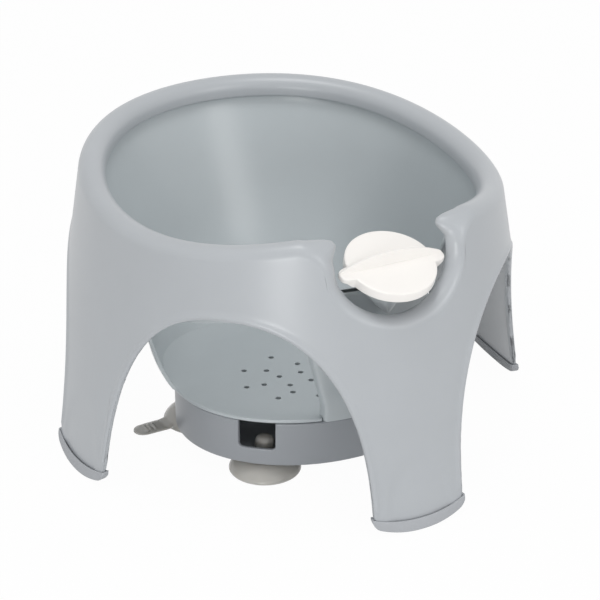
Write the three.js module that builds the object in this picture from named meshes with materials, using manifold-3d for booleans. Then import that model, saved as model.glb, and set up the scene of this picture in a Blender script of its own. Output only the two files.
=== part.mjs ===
// Baby bath seat: a shell on four legs, a seat bucket, a base on suction cups and a lift-out front post.
// Millimetres, Z up. The front is -Y and the origin is on the floor under the middle of the shell.
// Angles run round the seat from the front (-Y) towards the right (+X).

import * as THREE from "three";
import Module from "manifold-3d";

const wasm = await Module();
wasm.setup();

// Fits
const piece_gap = 0.3;
const running_gap = 0.08;
const overlap_depth = 1;
const cut_margin = 20;

// Outer shell
const floor_reach_x = 173;
const floor_reach_y = 187;
const rim_reach_x = 135;
const rim_reach_y = 142.5;
const rim_front_height = 190;
const rim_quarter_height = 178;
const rim_side_height = 177;
const rim_rear_height = 195;
const roll_radius = 9.5;
const wall_thickness = 3;
const roll_lip_depth = 5;
const roll_foot_depth = 2;
const roll_proud = 0.05;

// Arches between the legs
const arch_height = 142;
const front_arch_angle = 43.6;
const front_arch_half_angle = 32.3;
const rear_arch_angle = 132.9;
const rear_arch_half_angle = 35.8;
const arch_width_power = 2.31;
const arch_height_power = 2.48;
const bead_radius = 2.4;

// Notch at the front of the rim, given by the centre line of the roll round it
const notch_half_width = 47.5;
const notch_centre_height = 172;
const notch_bottom_height = 131.5;
const notch_corner_reach = 13.5;

// Foot pads
const pad_height = 8;
const pad_floor_thickness = 2.2;
const pad_lip = 2.2;
const pad_side_angle = 0.9;

// Seat bucket
const pan_underside_height = 43.3;
const pan_floor_height = 46.5;
const pan_centre_drop = 0.5;
const pan_reach_x = 98;
const pan_reach_y = 80.5;
const pan_centre_y = -28;
const bowl_height = 81;
const bowl_reach_x = 112;
const bowl_reach_y = 100;
const bowl_centre_y = -14;
const band_reach_x = 132.4;
const band_reach_y = 139.9;
const band_straight_height = 6;
const band_top_drop = 2;
const bucket_thickness = 2.5;
const leg_opening_low = 47;
const leg_opening_high = 132;
const band_opening_half_width = 53.4;
const bowl_shares = [
  { rise: 0, flare_x: 0, flare_y: 0, shift: 0 },
  { rise: 0.18, flare_x: 0.43, flare_y: 0.28, shift: 0.29 },
  { rise: 0.52, flare_x: 0.79, flare_y: 0.64, shift: 0.64 },
  { rise: 1, flare_x: 1, flare_y: 1, shift: 1 },
];
const wall_rise_shares = [0.33, 0.67, 1];
const leg_opening_stations = [
  { angle: 105, low_share: 0.48, high_share: 0.53 },
  { angle: 104, low_share: 0.447, high_share: 0.565 },
  { angle: 102, low_share: 0.406, high_share: 0.59 },
  { angle: 98, low_share: 0.33, high_share: 0.615 },
  { angle: 93.5, low_share: 0.235, high_share: 0.635 },
  { angle: 92.5, low_share: 0.02, high_share: 0.64 },
  { angle: 90, low_share: 0, high_share: 0.653 },
  { angle: 75, low_share: 0, high_share: 0.765 },
  { angle: 60, low_share: 0, high_share: 0.87 },
  { angle: 45, low_share: 0, high_share: 0.953 },
  { angle: 30, low_share: 0, high_share: 0.988 },
  { angle: 15, low_share: 0, high_share: 1 },
];

// Drain holes of the left half, as shares of the pan's reach either way from its centre
const drain_radius = 2;
const drain_shares = [
  [0.197, 0.266], [0.073, 0.053], [0.111, -0.096], [0.462, 0.153], [0.318, 0.067], [0.276, -0.082],
  [0.1, -0.266], [0.426, -0.152], [0.266, -0.263], [0.554, -0.125], [0.296, -0.385], [0.428, -0.424],
  [0.159, -0.545],
];

// Seat base and its plate
const base_low = 13;
const base_high = 43;
const base_thickness = 3;
const base_ledge_width = 4;
const base_ledge_height = 2.5;
const plate_thickness = 2.7;
const window_low = 25;
const window_corner_radius = 3;
const window_angle = 45.7;
const window_half_angle = 8.3;
const window_corner_angle = 1.8;

// Suction cups
const cup_front_x = 57;
const cup_front_y = -71;
const cup_rear_x = 69;
const cup_rear_y = 12;
const cup_radius = 25;
const cup_neck_radius = 6;
const cup_head_radius = 7;
const cup_head_height = 25.5;
const cup_tab_reach = 50;
const cup_tab_half_width = 7.8;
const cup_tab_low = 1;
const cup_tab_high = 3.3;
const cup_tab_tip_high = 2.4;
const rear_tab_angle = 180;
const front_tab_angle = 4;
const cup_dome_shares = [
  [0, 0.42], [0.55, 0.26], [0.86, 0.06], [0.915, 0], [0.985, 0], [1, 0.03], [1, 0.1], [0.96, 0.27],
  [0.86, 0.5], [0.68, 0.74], [0.44, 0.92],
];
const cup_head_shares = [[0.72, 0], [1, 0.1], [1, 0.42], [0.74, 0.82], [0, 1]];

// Screws
const screw_head_radius = 3.6;
const screw_head_height = 2.2;
const screw_recess_radius = 1.5;
const screw_recess_depth = 1.1;
const screw_shank_radius = 1.5;
const base_screw_length = 16;
const rim_screw_length = 14;
const post_screw_length = 6;
const post_screw_seat = 1.2;
const knob_screw_length = 12;
const base_screw_front_x = 30;
const base_screw_front_y = -88;
const base_screw_rear_x = 40;
const base_screw_rear_y = 18;
const base_boss_radius = 4.5;

// Rim bosses and bucket lugs
const lug_drop = 23;
const lug_thickness = 3;
const lug_half_width = 6;
const boss_half_width = 4;
const boss_height = 14;
const rim_screw_inset = 10.9;
const lug_edge = 4;

// Front post
const post_foot_low = 43.3;
const post_top = 150;
const post_full_half_width = 42;
const post_face_inset = 0.6;
const post_thickness = 10;
const post_wall_thickness = 3;
const post_cover_thickness = 2.2;
const post_pocket_low = 62;
const post_pocket_high = 146;
const post_pocket_edge = 6;
const post_screw_low = 75;
const post_screw_high = 115;
const post_cover_boss_radius = 3.4;
const tenon_half_width = 18;
const tenon_depth = 10;
const tenon_thickness = 3;
const post_width_shares = [
  [0, 0.69], [0.13, 0.69], [0.235, 0.785], [0.36, 0.857], [0.49, 0.97], [0.62, 1], [0.74, 1], [0.86, 0.94],
  [0.95, 0.82], [1, 0.64],
];
const post_across_shares = [-1, -0.94, -0.6, 0, 0.6, 0.94, 1];
const post_pocket_across_shares = [-1, 0, 1];

// Head and gusset of the post
const head_radius = 11;
const gusset_top = 152;
const gusset_low = 134.5;
const gusset_root = 5;
const gusset_half_width = 17;
const gusset_reach = 12.5;
const gusset_shares = [
  { rise: 0, width: 0.15, reach: 0.66 },
  { rise: 0.37, width: 0.66, reach: 0.86 },
  { rise: 1, width: 1, reach: 1 },
];

// Lock knob, measured along its tilted axis from the rim of its top face
const knob_reach = 6.906;
const knob_drop = 1;
const knob_tilt = 19;
const knob_radius = 30;
const knob_skirt_depth = 5;
const knob_skirt_thickness = 2.4;
const knob_disc_thickness = 2.6;
const knob_crown = 1.3;
const knob_edge_round = 0.9;
const knob_hub_radius = 9;
const knob_hub_depth = 7.7;
const stem_radius = 4.2;
const stem_depth = 27.3;
const stem_screw_depth = 12;
const washer_radius = 6;
const washer_thickness = 1;
const head_pocket_radius = 6.6;
const head_pocket_depth = 5.6;
const blade_reach = 37.4;
const blade_height = 9.2;
const blade_root = 1;
const blade_half_width = 4.6;
const blade_shares = [
  { across: -1, height: 0.2, width: 0.12, root: -1.2 },
  { across: -0.93, height: 0.5, width: 0.3, root: -0.6 },
  { across: -0.8, height: 0.74, width: 0.55, root: 0 },
  { across: -0.4, height: 0.95, width: 0.88, root: 1 },
  { across: 0, height: 1, width: 1, root: 1 },
  { across: 0.4, height: 0.95, width: 0.88, root: 1 },
  { across: 0.8, height: 0.74, width: 0.55, root: 0 },
  { across: 0.93, height: 0.5, width: 0.3, root: -0.6 },
  { across: 1, height: 0.2, width: 0.12, root: -1.2 },
];
const blade_edge_share = 0.3;

// Steps round curved shapes
const shell_steps = 72;
const bucket_steps = 60;
const base_steps = 40;
const cup_steps = 16;
const knob_steps = 28;
const bore_steps = 20;
const screw_steps = 10;
const drain_steps = 6;
const arch_steps = 18;
const bead_steps = 6;
const notch_steps = 14;
const corner_steps = 4;
const roll_steps = 6;
const roll_inner_steps = 3;
const closest_station_angle = 0.5;
const angle_rounds = 12;
const pad_steps = 8;

const half_turn = 180;
const full_turn = 360;

function radians(degrees) {
  return degrees * Math.PI / half_turn;
}

function point(x, y, z) {
  return new THREE.Vector3(x, y, z);
}

function mix(from, to, share) {
  return from + (to - from) * share;
}

function range(count) {
  return Array.from({ length: count }, (_, index) => index);
}

// Closed body through a run of closed outlines. An outline of one point is a tip.
// A looped run joins its last outline to its first; any other run is closed with flat ends.
function loft(outlines, looped = false) {
  const points = [];
  const faces = [];
  const starts = outlines.map((outline) => {
    const start = points.length;
    points.push(...outline);
    return start;
  });
  const pairs = looped ? outlines.length : outlines.length - 1;
  for (const first of range(pairs)) {
    const second = (first + 1) % outlines.length;
    join_outlines(faces, starts[first], outlines[first].length, starts[second], outlines[second].length);
  }
  if (!looped) {
    const final = outlines.length - 1;
    close_end(faces, starts[0], outlines[0].length, false);
    close_end(faces, starts[final], outlines[final].length, true);
  }
  return solid(points, faces);
}

function join_outlines(faces, start_a, count_a, start_b, count_b) {
  const count = Math.max(count_a, count_b);
  for (const index of range(count)) {
    const next = (index + 1) % count;
    const a = start_a + index % count_a;
    const b = start_a + next % count_a;
    const c = start_b + next % count_b;
    const d = start_b + index % count_b;
    if (a !== b) faces.push([a, b, c]);
    if (c !== d) faces.push([a, c, d]);
  }
}

// Flat end in a strip of triangles, each side of the outline joined to the opposite one
function close_end(faces, start, count, last) {
  let low = start;
  let high = start + count - 1;
  for (const step of range(Math.max(count - 2, 0))) {
    const corner = step % 2 === 0 ? low + 1 : high - 1;
    const [a, b, c] = [low, corner, high];
    faces.push(last ? [a, b, c] : [b, a, c]);
    if (step % 2 === 0) {
      low = corner;
    } else {
      high = corner;
    }
  }
}

function solid(points, faces) {
  const volume = faces.reduce((sum, [a, b, c]) => sum + points[a].dot(points[b].clone().cross(points[c])), 0);
  const turned = volume < 0 ? faces.map(([a, b, c]) => [a, c, b]) : faces;
  const mesh = new wasm.Mesh({
    numProp: 3,
    vertProperties: new Float32Array(points.flatMap((corner) => corner.toArray())),
    triVerts: new Uint32Array(turned.flat()),
  });
  return new wasm.Manifold(mesh);
}

function joined(bodies) {
  return bodies.reduce((whole, body) => whole.add(body));
}

function without(body, cutters) {
  return cutters.reduce((whole, cutter) => whole.subtract(cutter), body);
}

// Round body about a straight axis. The profile holds [radius, distance along the axis] pairs,
// and a radius of 0 at either end closes it on the axis.
function turned(profile, steps, origin, along, across) {
  const third = along.clone().cross(across);
  const outlines = profile.map(([radius, distance]) => {
    const count = radius === 0 ? 1 : steps;
    return range(count).map((step) => {
      const angle = full_turn * step / steps;
      return origin.clone()
        .addScaledVector(along, distance)
        .addScaledVector(across, radius * Math.cos(radians(angle)))
        .addScaledVector(third, radius * Math.sin(radians(angle)));
    });
  });
  return loft(outlines);
}

function upright(profile, steps, x, y) {
  return turned(profile, steps, point(x, y, 0), point(0, 0, 1), point(1, 0, 0));
}

function upright_cylinder(radius, x, y, low, high, steps) {
  return upright([[0, low], [radius, low], [radius, high], [0, high]], steps, x, y);
}

function box(x_low, x_high, y_low, y_high, z_low, z_high) {
  const outline = (z) => [
    point(x_low, y_low, z), point(x_high, y_low, z), point(x_high, y_high, z), point(x_low, y_high, z),
  ];
  return loft([outline(z_low), outline(z_high)]);
}

// Block that points outwards at one angle round the seat
function radial_block(angle, reach_low, reach_high, half_width, z_low, z_high) {
  const out = point(Math.sin(radians(angle)), -Math.cos(radians(angle)), 0);
  const side = point(Math.cos(radians(angle)), Math.sin(radians(angle)), 0);
  const corner = (reach, offset, z) => {
    return point(0, 0, z).addScaledVector(out, reach).addScaledVector(side, offset);
  };
  const outline = (z) => [
    corner(reach_low, -half_width, z), corner(reach_high, -half_width, z),
    corner(reach_high, half_width, z), corner(reach_low, half_width, z),
  ];
  return loft([outline(z_low), outline(z_high)]);
}

// Body that follows a curved wall, through stations of { angle, low, high }
function wall_band(surface, stations, inset_low, inset_high) {
  return loft(stations.map(({ angle, low, high }) => [
    surface(angle, low, inset_high), surface(angle, low, inset_low),
    surface(angle, high, inset_low), surface(angle, high, inset_high),
  ]));
}

// Height of the centre of the rolled rim. It rises and falls as the angle goes round.
function rim_height(angle) {
  const ends = (rim_front_height + rim_rear_height) / 2;
  const level = (ends + rim_side_height) / 2;
  const twice = (ends - rim_side_height) / 2;
  const tilt = (rim_front_height - rim_rear_height) / 2;
  const sag = (rim_quarter_height - level) * Math.SQRT2;
  const once = (tilt + sag) / 2;
  const thrice = (tilt - sag) / 2;
  const turn = radians(angle);
  return level + once * Math.cos(turn) + twice * Math.cos(2 * turn) + thrice * Math.cos(3 * turn);
}

// Point on the outer wall of the shell, or inset from it
function wall_point(angle, z, inset) {
  const rise = z / rim_height(angle);
  const reach_x = mix(floor_reach_x, rim_reach_x + roll_radius, rise) - inset;
  const reach_y = mix(floor_reach_y, rim_reach_y + roll_radius, rise) - inset;
  return point(reach_x * Math.sin(radians(angle)), -reach_y * Math.cos(radians(angle)), z);
}

// Angle at which the roll's centre line is at this distance from the middle plane
function angle_at(x, z) {
  let angle = 0;
  for (const _ of range(angle_rounds)) {
    const rise = z / rim_height(angle);
    const reach_x = mix(floor_reach_x, rim_reach_x + roll_radius, rise) - roll_radius;
    angle = Math.asin(x / reach_x) * half_turn / Math.PI;
  }
  return angle;
}

// Edge of one arch from its left foot over its top to its right foot, as [angle, height] pairs
function arch_edge(middle, half_angle, lowest) {
  const start = Math.acos((lowest / arch_height) ** (arch_height_power / 2));
  return range(arch_steps + 1).map((step) => {
    const turn = mix(Math.PI / 2, 0, Math.abs(1 - 2 * step / arch_steps));
    const part = Math.PI / 2 - turn;
    const clipped = Math.min(part, start);
    const side = step < arch_steps / 2 ? -1 : 1;
    const across = Math.sin(clipped) ** (2 / arch_width_power);
    const up = Math.cos(clipped) ** (2 / arch_height_power);
    return [middle + side * half_angle * across, arch_height * up];
  });
}

function arch_cutter(middle, half_angle) {
  const edge = arch_edge(middle, half_angle, 0);
  const stations = edge.map(([angle, high]) => ({ angle, low: -cut_margin, high }));
  return wall_band(wall_point, stations, -cut_margin, cut_margin);
}

// Frame of a sweep: outward from the seat, along the path, and up away from the wall
function frame_at(path, index, looped) {
  const before = path[looped ? (index + path.length - 1) % path.length : Math.max(index - 1, 0)];
  const after = path[looped ? (index + 1) % path.length : Math.min(index + 1, path.length - 1)];
  const along = after.centre.clone().sub(before.centre).normalize();
  const up = path[index].out.clone().cross(along).normalize();
  return { up, out: along.clone().cross(up).normalize() };
}

function sweep(path, section, looped) {
  return loft(path.map((station, index) => {
    const { up, out } = frame_at(path, index, looped);
    return section.map(([outward, upward]) => {
      return station.centre.clone().addScaledVector(out, outward).addScaledVector(up, upward);
    });
  }), looped);
}

function arch_bead(middle, half_angle) {
  const lowest = pad_height + 2 * piece_gap;
  const edge = arch_edge(middle, half_angle, lowest).filter(([, z], index, all) => {
    return index === 0 || index === all.length - 1 || z > lowest + bead_radius;
  });
  const path = edge.map(([angle, z]) => ({
    centre: wall_point(angle, z, wall_thickness / 2),
    out: wall_point(angle, z, 0).sub(wall_point(angle, z, wall_thickness)),
  }));
  const section = range(bead_steps).map((step) => {
    const turn = radians(full_turn * step / bead_steps);
    return [bead_radius * Math.cos(turn), bead_radius * Math.sin(turn)];
  });
  return sweep(path, section, false);
}

// Centre line of the roll round the notch, left to right, as [angle, height] pairs
function notch_line() {
  const corner_x = notch_half_width + notch_corner_reach;
  const corner_angle = Math.asin(corner_x / rim_reach_x) * half_turn / Math.PI;
  const corner_rise = rim_height(corner_angle) - notch_centre_height;
  const drop = notch_centre_height - notch_bottom_height;
  const left = range(corner_steps + 1).map((step) => {
    const turn = Math.PI / 2 * (1 - step / corner_steps);
    const x = notch_corner_reach * Math.cos(turn) - corner_x;
    return [x, notch_centre_height + corner_rise * Math.sin(turn)];
  });
  const low = range(notch_steps - 1).map((step) => {
    const turn = Math.PI * (step + 1) / notch_steps;
    return [-notch_half_width * Math.cos(turn), notch_centre_height - drop * Math.sin(turn)];
  });
  const right = left.map(([x, z]) => [-x, z]).reverse();
  return [...left, ...low, ...right].map(([x, z]) => [angle_at(x, z), z]);
}

function notch_cutter() {
  const high = rim_rear_height + cut_margin;
  const stations = notch_line().map(([angle, low]) => ({ angle, low, high }));
  return wall_band(wall_point, stations, -cut_margin, cut_margin);
}

// Section of the roll. Its foot stands inside the wall.
function roll_section() {
  const outer_radius = roll_radius + roll_proud;
  const inner_radius = roll_radius - wall_thickness - roll_proud;
  const arc = (radius, step, steps) => {
    const turn = Math.PI * step / steps;
    return [radius * Math.cos(turn), radius * Math.sin(turn)];
  };
  const outer = range(roll_steps + 1).map((step) => arc(outer_radius, step, roll_steps));
  const inner = range(roll_inner_steps + 1).map((step) => {
    return arc(inner_radius, roll_inner_steps - step, roll_inner_steps);
  });
  const foot = wall_thickness / 4;
  return [
    ...outer, [-outer_radius, -roll_lip_depth], [-inner_radius, -roll_lip_depth], ...inner,
    [inner_radius + foot, -roll_foot_depth], [outer_radius - foot, -roll_foot_depth],
  ];
}

// Centre line of the roll: once round the rim, then down round the notch, as [angle, height] pairs
function roll_line() {
  const notch = notch_line();
  const first = notch[notch.length - 1][0];
  const span = full_turn - 2 * first;
  const steps = Math.round(shell_steps * span / full_turn);
  const rim = range(steps - 1).map((step) => first + span * (step + 1) / steps);
  return [...rim.map((angle) => [angle, rim_height(angle)]), ...notch];
}

function rolled_rim() {
  const path = roll_line().map(([angle, z]) => ({
    centre: wall_point(angle, z, roll_radius),
    out: wall_point(angle, z, 0).sub(wall_point(angle, z, roll_radius)),
  }));
  return sweep(path, roll_section(), true);
}

function shell_wall() {
  const low = pad_floor_thickness + piece_gap;
  const angles = roll_line().map(([angle]) => angle).filter((angle, index, all) => {
    return index === 0 || Math.abs(angle - all[index - 1]) > closest_station_angle;
  });
  return loft(angles.map((angle) => {
    const high = rim_height(angle);
    return [
      wall_point(angle, low, 0), wall_point(angle, high, 0),
      wall_point(angle, high, wall_thickness), wall_point(angle, low, wall_thickness),
    ];
  }), true);
}

// Places where the bucket is screwed to the shell: right, rear and left
function rim_fixings() {
  return [half_turn / 2, half_turn, -half_turn / 2].map((angle) => {
    const lug_low = rim_height(angle) - lug_drop;
    const outer = wall_point(angle, lug_low, rim_screw_inset);
    const screw_reach = Math.hypot(outer.x, outer.y);
    return {
      angle, lug_low, screw_reach,
      x: screw_reach * Math.sin(radians(angle)),
      y: -screw_reach * Math.cos(radians(angle)),
    };
  });
}

function rim_boss({ angle, lug_low, screw_reach }) {
  const low = lug_low + lug_thickness + piece_gap;
  const high = low + boss_height;
  const outer = wall_point(angle, high, wall_thickness / 2);
  const reach_high = Math.hypot(outer.x, outer.y);
  return radial_block(angle, screw_reach - boss_half_width, reach_high, boss_half_width, low, high);
}

function screw_hole(x, y, low, high) {
  return upright_cylinder(screw_shank_radius + piece_gap, x, y, low, high, screw_steps);
}

function outer_shell() {
  const arches = [
    [front_arch_angle, front_arch_half_angle], [-front_arch_angle, front_arch_half_angle],
    [rear_arch_angle, rear_arch_half_angle], [-rear_arch_angle, rear_arch_half_angle],
  ];
  const arch_cutters = arches.map(([middle, half]) => arch_cutter(middle, half));
  const wall = without(shell_wall(), [notch_cutter(), ...arch_cutters]);
  const beads = arches.map(([middle, half]) => arch_bead(middle, half));
  const bosses = rim_fixings().map(rim_boss);
  const pilots = rim_fixings().map(({ x, y, lug_low }) => {
    return screw_hole(x, y, lug_low, lug_low + rim_screw_length + piece_gap);
  });
  return without(joined([wall, rolled_rim(), ...beads, ...bosses]), pilots);
}

// First and last angle of each leg, between the arches
function leg_spans() {
  const front = front_arch_angle - front_arch_half_angle;
  const side_front = front_arch_angle + front_arch_half_angle;
  const side_rear = rear_arch_angle - rear_arch_half_angle;
  const rear = rear_arch_angle + rear_arch_half_angle;
  return {
    front: [-front, front],
    right: [side_front, side_rear],
    rear: [rear, full_turn - rear],
    left: [-side_rear, -side_front],
  };
}

function foot_pad(first, last) {
  const stations = (extra) => range(pad_steps + 1).map((step) => ({
    angle: mix(first - extra, last + extra, step / pad_steps),
    low: 0,
    high: pad_height,
  }));
  const outside = wall_band(wall_point, stations(pad_side_angle), -pad_lip, wall_thickness + pad_lip);
  const seat = stations(piece_gap).map((station) => ({
    ...station, low: pad_floor_thickness, high: pad_height + overlap_depth,
  }));
  return outside.subtract(wall_band(wall_point, seat, -piece_gap, wall_thickness + piece_gap));
}

function band_top(angle) {
  return rim_height(angle) - band_top_drop;
}

// Sizes of the bucket's oval at one height: shares below the bowl's top, straight above it
function bucket_oval(angle, z) {
  const top = band_top(angle) - band_straight_height;
  if (z >= bowl_height) {
    const rise = Math.min((z - bowl_height) / (top - bowl_height), 1);
    return {
      reach_x: mix(bowl_reach_x, band_reach_x, rise),
      reach_y: mix(bowl_reach_y, band_reach_y, rise),
      centre_y: mix(bowl_centre_y, 0, rise),
    };
  }
  const share = Math.max((z - pan_underside_height) / (bowl_height - pan_underside_height), 0);
  const upper = bowl_shares.findIndex(({ rise }) => rise >= share);
  const high = bowl_shares[Math.max(upper, 1)];
  const low = bowl_shares[Math.max(upper, 1) - 1];
  const part = (share - low.rise) / (high.rise - low.rise);
  return {
    reach_x: mix(pan_reach_x, bowl_reach_x, mix(low.flare_x, high.flare_x, part)),
    reach_y: mix(pan_reach_y, bowl_reach_y, mix(low.flare_y, high.flare_y, part)),
    centre_y: mix(pan_centre_y, bowl_centre_y, mix(low.shift, high.shift, part)),
  };
}

function bucket_point(angle, z, inset) {
  const { reach_x, reach_y, centre_y } = bucket_oval(angle, z);
  const x = (reach_x - inset) * Math.sin(radians(angle));
  return point(x, centre_y - (reach_y - inset) * Math.cos(radians(angle)), z);
}

function bucket_ring(height_at, inset) {
  return range(bucket_steps).map((step) => {
    const angle = full_turn * step / bucket_steps;
    return bucket_point(angle, height_at(angle), inset);
  });
}

function bucket_shape() {
  const bowl_heights = bowl_shares.map(({ rise }) => {
    return () => mix(pan_underside_height, bowl_height, rise);
  });
  const wall_heights = wall_rise_shares.map((share) => {
    return (angle) => mix(bowl_height, band_top(angle) - band_straight_height, share);
  });
  const heights = [...bowl_heights, ...wall_heights, band_top];
  const inner_heights = [() => pan_floor_height, ...heights.slice(1)];
  return loft([
    [point(0, pan_centre_y, pan_underside_height)],
    ...heights.map((height) => bucket_ring(height, 0)),
    ...inner_heights.reverse().map((height) => bucket_ring(height, bucket_thickness)),
    [point(0, pan_centre_y, pan_floor_height - pan_centre_drop)],
  ]);
}

function leg_opening_cutter() {
  const span = leg_opening_high - leg_opening_low;
  const side = leg_opening_stations.map(({ angle, low_share, high_share }) => ({
    angle,
    low: leg_opening_low + span * low_share,
    high: leg_opening_low + span * high_share,
  }));
  const other = side.map((station) => ({ ...station, angle: -station.angle })).reverse();
  return wall_band(bucket_point, [...side, ...other], -cut_margin, cut_margin);
}

function drain_holes() {
  return [-1, 1].flatMap((side) => drain_shares.map(([across, back]) => {
    const x = side * across * pan_reach_x;
    const y = pan_centre_y + back * pan_reach_y;
    const low = pan_underside_height - overlap_depth;
    return upright_cylinder(drain_radius, x, y, low, pan_floor_height + overlap_depth, drain_steps);
  }));
}

function base_screw_places() {
  return [
    [-base_screw_front_x, base_screw_front_y], [base_screw_front_x, base_screw_front_y],
    [-base_screw_rear_x, base_screw_rear_y], [base_screw_rear_x, base_screw_rear_y],
  ];
}

function plate_high() {
  return base_low + piece_gap + plate_thickness;
}

function pan_bosses() {
  const low = plate_high() + piece_gap;
  return base_screw_places().map(([x, y]) => {
    return upright_cylinder(base_boss_radius, x, y, low, pan_underside_height + overlap_depth, bore_steps);
  });
}

function bucket_lug({ angle, lug_low, screw_reach }) {
  const surface = bucket_point(angle, lug_low, overlap_depth);
  const inner = Math.hypot(surface.x, surface.y);
  return radial_block(angle, inner, screw_reach + lug_edge, lug_half_width, lug_low, lug_low + lug_thickness);
}

function seat_bucket() {
  const body = joined([bucket_shape(), ...pan_bosses(), ...rim_fixings().map(bucket_lug)]);
  const above = rim_rear_height + cut_margin;
  const front = -floor_reach_y;
  const half_width = band_opening_half_width;
  const pilots = base_screw_places().map(([x, y]) => {
    return screw_hole(x, y, base_low, base_low + base_screw_length + piece_gap);
  });
  const lug_holes = rim_fixings().map(({ x, y, lug_low }) => {
    return screw_hole(x, y, lug_low - overlap_depth, lug_low + lug_thickness + overlap_depth);
  });
  return without(body, [
    leg_opening_cutter(),
    box(-half_width, half_width, front, bowl_centre_y, leg_opening_high - overlap_depth, above),
    post_slab(post_foot_low - overlap_depth, leg_opening_low + overlap_depth, post_across_shares, -piece_gap,
      -cut_margin, post_thickness + piece_gap),
    ...drain_holes(), ...pilots, ...lug_holes,
  ]);
}

function base_point(angle, z, inset) {
  const x = (pan_reach_x - inset) * Math.sin(radians(angle));
  return point(x, pan_centre_y - (pan_reach_y - inset) * Math.cos(radians(angle)), z);
}

function base_ring(z, inset) {
  return range(base_steps).map((step) => base_point(full_turn * step / base_steps, z, inset));
}

function window_cutter(middle) {
  const high = base_high + overlap_depth;
  const round = window_corner_radius;
  const offsets = [-window_half_angle, -window_half_angle + window_corner_angle];
  const stations = [
    { angle: middle + offsets[0], low: window_low + round, high },
    { angle: middle + offsets[1], low: window_low, high },
    { angle: middle, low: window_low, high },
    { angle: middle - offsets[1], low: window_low, high },
    { angle: middle - offsets[0], low: window_low + round, high },
  ];
  return wall_band(base_point, stations, -base_thickness, base_thickness + base_ledge_width);
}

function cup_places() {
  return [
    { x: -cup_front_x, y: cup_front_y, tab: front_tab_angle },
    { x: cup_front_x, y: cup_front_y, tab: half_turn - front_tab_angle },
    { x: -cup_rear_x, y: cup_rear_y, tab: rear_tab_angle },
    { x: cup_rear_x, y: cup_rear_y, tab: half_turn - rear_tab_angle },
  ];
}

function seat_base() {
  const ledge_low = plate_high() + piece_gap;
  const ledge_high = ledge_low + base_ledge_height;
  const ledge_inset = base_thickness + base_ledge_width;
  const ring = loft([
    base_ring(base_low, 0), base_ring(base_high, 0), base_ring(base_high, base_thickness),
    base_ring(ledge_high, base_thickness), base_ring(ledge_high, ledge_inset),
    base_ring(ledge_low, ledge_inset), base_ring(ledge_low, base_thickness),
    base_ring(base_low, base_thickness),
  ], true);
  const windows = [window_angle, -window_angle, half_turn - window_angle, window_angle - half_turn];
  const cup_room = cup_places().map(({ x, y }) => {
    const radius = cup_head_radius + 2 * piece_gap;
    return upright_cylinder(radius, x, y, ledge_low - piece_gap, ledge_high + overlap_depth, cup_steps);
  });
  return without(ring, [...windows.map(window_cutter), ...cup_room]);
}

function base_plate() {
  const low = base_low + piece_gap;
  const inset = base_thickness + piece_gap;
  const plate = loft([base_ring(low, inset), base_ring(plate_high(), inset)]);
  const over = plate_high() + overlap_depth;
  const cup_holes = cup_places().map(({ x, y }) => {
    return upright_cylinder(cup_neck_radius + piece_gap, x, y, 0, over, cup_steps);
  });
  const screw_holes = base_screw_places().map(([x, y]) => screw_hole(x, y, 0, over));
  return without(plate, [...cup_holes, ...screw_holes]);
}

function suction_cup({ x, y, tab }) {
  const neck_low = base_low;
  const head_low = plate_high() + piece_gap;
  const dome = cup_dome_shares.map(([out, up]) => [cup_radius * out, neck_low * up]);
  const head = cup_head_shares.map(([out, up]) => {
    return [cup_head_radius * out, mix(head_low, cup_head_height, up)];
  });
  const body = upright([...dome, [cup_neck_radius, neck_low], ...head], cup_steps, x, y);
  const along = point(Math.cos(radians(tab)), Math.sin(radians(tab)), 0);
  const side = point(-along.y, along.x, 0);
  const outline = (reach, half_width, high) => [[-1, cup_tab_low], [1, cup_tab_low], [1, high], [-1, high]]
    .map(([way, z]) => point(x, y, z).addScaledVector(along, reach).addScaledVector(side, way * half_width));
  const round = cup_tab_half_width / 2;
  const pull_tab = loft([
    outline(cup_radius - 2 * round, cup_tab_half_width, cup_tab_high),
    outline(cup_tab_reach - round, cup_tab_half_width, cup_tab_tip_high),
    outline(cup_tab_reach, round, cup_tab_tip_high),
  ]);
  return body.add(pull_tab);
}

function screw_profile(length) {
  return [
    [0, screw_recess_depth], [screw_recess_radius, screw_recess_depth], [screw_recess_radius, 0],
    [screw_head_radius, 0], [screw_head_radius, screw_head_height], [screw_shank_radius, screw_head_height],
    [screw_shank_radius, screw_head_height + length], [0, screw_head_height + length],
  ];
}

function upright_screw(x, y, under_head, length) {
  const origin = point(x, y, under_head - screw_head_height);
  return turned(screw_profile(length), screw_steps, origin, point(0, 0, 1), point(1, 0, 0));
}

function post_half_width(share) {
  const next = Math.max(post_width_shares.findIndex(([rise]) => rise >= share), 1);
  const [rise_high, width_high] = post_width_shares[next];
  const [rise_low, width_low] = post_width_shares[next - 1];
  return post_full_half_width * mix(width_low, width_high, (share - rise_low) / (rise_high - rise_low));
}

// Point on the front face of the post, or inset from it towards the child
function post_point(x, z, inset) {
  const { reach_x, reach_y, centre_y } = bucket_oval(0, z);
  const bend = Math.sqrt(1 - (x / reach_x) ** 2);
  return point(x, centre_y - reach_y * bend + post_face_inset + inset, z);
}

function post_ring(z, half_width, across_shares, inset_front, inset_back) {
  const front = across_shares.map((share) => post_point(share * half_width, z, inset_front));
  const back = across_shares.map((share) => post_point(share * half_width, z, inset_back)).reverse();
  return [...front, ...back];
}

function post_heights(low, high) {
  const inner = post_width_shares.map(([rise]) => mix(post_foot_low, post_top, rise))
    .filter((z) => z > low + overlap_depth && z < high - overlap_depth);
  return [low, ...inner, high];
}

function post_slab(low, high, across_shares, edge, inset_front, inset_back) {
  return loft(post_heights(low, high).map((z) => {
    const half_width = post_half_width((z - post_foot_low) / (post_top - post_foot_low)) - edge;
    return post_ring(z, half_width, across_shares, inset_front, inset_back);
  }));
}

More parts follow.
